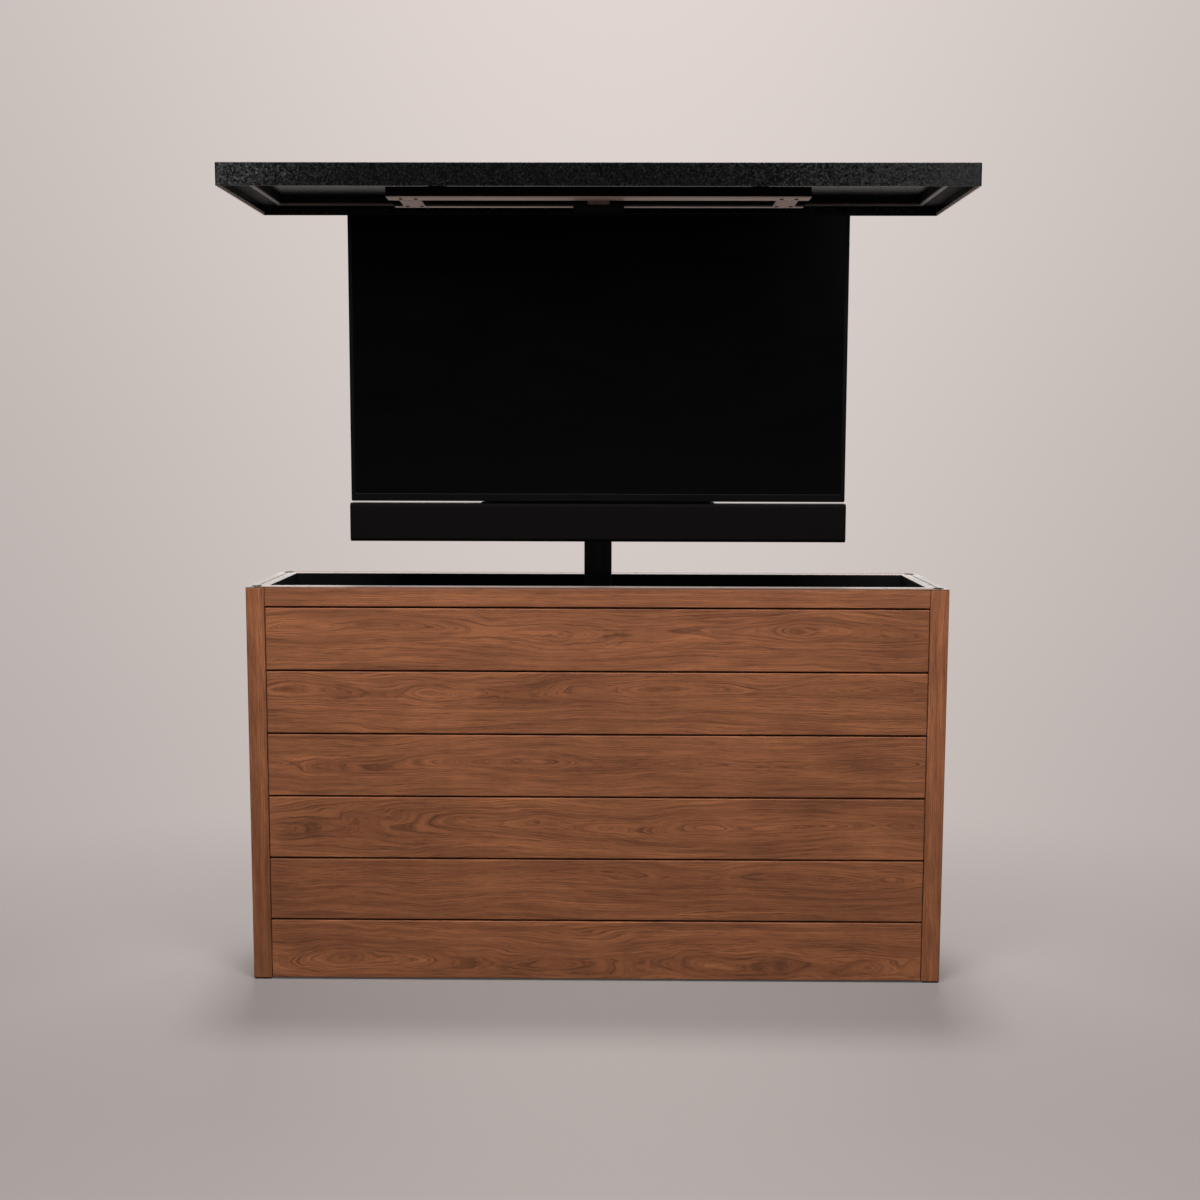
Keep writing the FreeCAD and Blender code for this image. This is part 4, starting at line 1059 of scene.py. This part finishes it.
def seen_directly(tree):
    """1 for camera, glossy and transmission rays; and 1 for camera rays alone."""
    path = tree.outputs("ShaderNodeLightPath")
    seen = tree.larger(path["Is Camera Ray"], path["Is Glossy Ray"])
    return tree.larger(seen, path["Is Transmission Ray"]), path["Is Camera Ray"]


def build_world(options):
    """The backdrop as it is seen, and a weak plain light from all round."""
    world = bpy.data.worlds.new("studio")
    bpy.context.scene.world = world
    world.use_nodes = True
    world.node_tree.nodes.clear()
    tree = Tree(world.node_tree)
    sight = tree.out("ShaderNodeTexCoord", None, "Generated")
    colour = backdrop_colour(tree, sight)
    seen, by_camera = seen_directly(tree)
    behind = tree.remap(tree.parts(sight)[1], -0.45, 0.05, FRONT_SHEEN, 1.0, smooth=True)
    shown = tree.out("ShaderNodeBackground", {"Color": colour, "Strength": tree.larger(by_camera, behind)})
    soft = tree.out("ShaderNodeBackground", {"Color": TINT, "Strength": options.ambient})
    both = tree.out("ShaderNodeMixShader", {0: seen, 1: soft, 2: shown})
    tree.node("ShaderNodeOutputWorld", {"Surface": both})


def build_floor(options):
    """A large disc, lit and shaded near the cabinet; further out it keeps the backdrop's colour."""
    floor = new_object("floor", bpy.data.meshes.new("floor"))
    with edited(floor.data) as shape:
        bmesh.ops.create_circle(shape, cap_ends=True, segments=96, radius=options.floor_radius)
    tree = Finish("floor")
    floor.data.materials.append(tree.material)
    x, y, z = tree.parts(tree.place)
    ahead = tree.math("SQRT", (y - NEAR_EDGE) ** 2.0 + NEAR_BLEND) + (NEAR_EDGE - CAMERA_SPOT.y)
    colour = backdrop_colour(tree, tree.join(x - CAMERA_SPOT.x, ahead, -CAMERA_SPOT.z))
    seen = seen_directly(tree)[0]
    away = tree.vector("LENGTH", tree.join(x, (y + LIT_MIDDLE) * LIT_SQUEEZE, 0.0))
    near = tree.remap(away, LIT_RADIUS, LIT_END, 1.0, 0.0, smooth=True)
    near = near * tree.remap(y, *REAR_FADE, 1.0, REAR_LIT_SHARE, smooth=True)
    glow_near = tree.out("ShaderNodeEmission", {"Color": colour, "Strength": 1.0 - FLOOR_LIT_SHARE})
    glow_far = tree.out("ShaderNodeEmission", {"Color": colour, "Strength": 1.0})
    lit = tree.out("ShaderNodeBsdfDiffuse", {"Color": tree.scaled(colour, FLOOR_ALBEDO)})
    bounce = tree.out("ShaderNodeBsdfDiffuse", {"Color": shade(TINT, BOUNCE_ALBEDO)})
    both = tree.out("ShaderNodeAddShader", {0: glow_near, 1: lit})
    blend = tree.out("ShaderNodeMixShader", {0: near, 1: glow_far, 2: both})
    final = tree.out("ShaderNodeMixShader", {0: seen, 1: bounce, 2: blend})
    tree.put(tree.tree.nodes["Material Output"].inputs["Surface"], final)
    tree.tree.nodes.remove(tree.shader)


def build_camera(options):
    """The camera, turned by yaw, pitch and roll."""
    data = bpy.data.cameras.new("camera")
    data.sensor_width = SENSOR_WIDTH
    data.lens = options.focal_length
    data.clip_end = 300.0
    camera = new_object("camera", data)
    pitch, yaw, roll = CAMERA_PITCH, CAMERA_YAW, CAMERA_ROLL
    forward = Vector((math.sin(yaw), math.cos(yaw) * math.cos(pitch), -math.sin(pitch))).normalized()
    right = forward.cross(Vector((0, 0, 1))).normalized()
    up = right.cross(forward)
    across = right * math.cos(roll) + up * math.sin(roll)
    upward = up * math.cos(roll) - right * math.sin(roll)
    turn = Matrix((across, upward, -forward)).transposed()
    camera.matrix_world = Matrix.Translation(CAMERA_SPOT) @ turn.to_4x4()
    bpy.context.scene.camera = camera


def lamp(name, kind, spot, target, strength):
    """A lamp that points from its place at its target; returns its data."""
    data = bpy.data.lights.new(name, kind)
    data.energy = strength
    made = new_object(name, data)
    made.location = spot
    made.rotation_euler = (Vector(target) - Vector(spot)).to_track_quat("-Z", "Y").to_euler()
    return data


class TVCABINET_OT_stage(Operator):
    """Makes floor, background, lamps and camera"""
    bl_idname = "tvcabinet.stage"
    bl_label = "Stage"

    def execute(self, context):
        options = context.scene.tv_cabinet.stage
        context.scene.view_settings.view_transform = "Standard"
        build_world(options)
        build_floor(options)
        build_camera(options)
        sun = lamp("top_lamp", "SUN", TOP_LAMP_SPOT, (0.0, 0.0, 0.0), options.top_strength)
        sun.angle = options.top_angle
        for name, spot, target, size, power in SOFTBOXES:
            box = lamp(name, "AREA", spot, target, getattr(options, power))
            box.shape = "RECTANGLE"
            box.size, box.size_y = size
        return {"FINISHED"}


# ---- Panel and run ----

class TVCABINET_PT_panel(Panel):
    """Lists the steps"""
    bl_idname = "TVCABINET_PT_panel"
    bl_label = "TV lift cabinet"
    bl_space_type = "VIEW_3D"
    bl_region_type = "UI"
    bl_category = "TV cabinet"

    def draw(self, context):
        for step in STEPS:
            self.layout.operator(step.bl_idname)


STEPS = (
    TVCABINET_OT_boards,
    TVCABINET_OT_posts,
    TVCABINET_OT_metal,
    TVCABINET_OT_mouldings,
    TVCABINET_OT_fasteners,
    TVCABINET_OT_spindles,
    TVCABINET_OT_vents,
    TVCABINET_OT_coats,
    TVCABINET_OT_stage,
)
CLASSES = (WoodSettings, CoatSettings, StageSettings, TvCabinetSettings, *STEPS, TVCABINET_PT_panel)


def register():
    for item in CLASSES:
        bpy.utils.register_class(item)
    bpy.types.Scene.tv_cabinet = PointerProperty(type=TvCabinetSettings)


def unregister():
    del bpy.types.Scene.tv_cabinet
    for item in reversed(CLASSES):
        bpy.utils.unregister_class(item)


def main():
    """Runs every step in order."""
    register()
    for step in STEPS:
        group, name = step.bl_idname.split(".")
        result = getattr(getattr(bpy.ops, group), name)()
        if result != {"FINISHED"}:
            raise RuntimeError(step.bl_label + " failed")


if __name__ == "__main__":
    main()
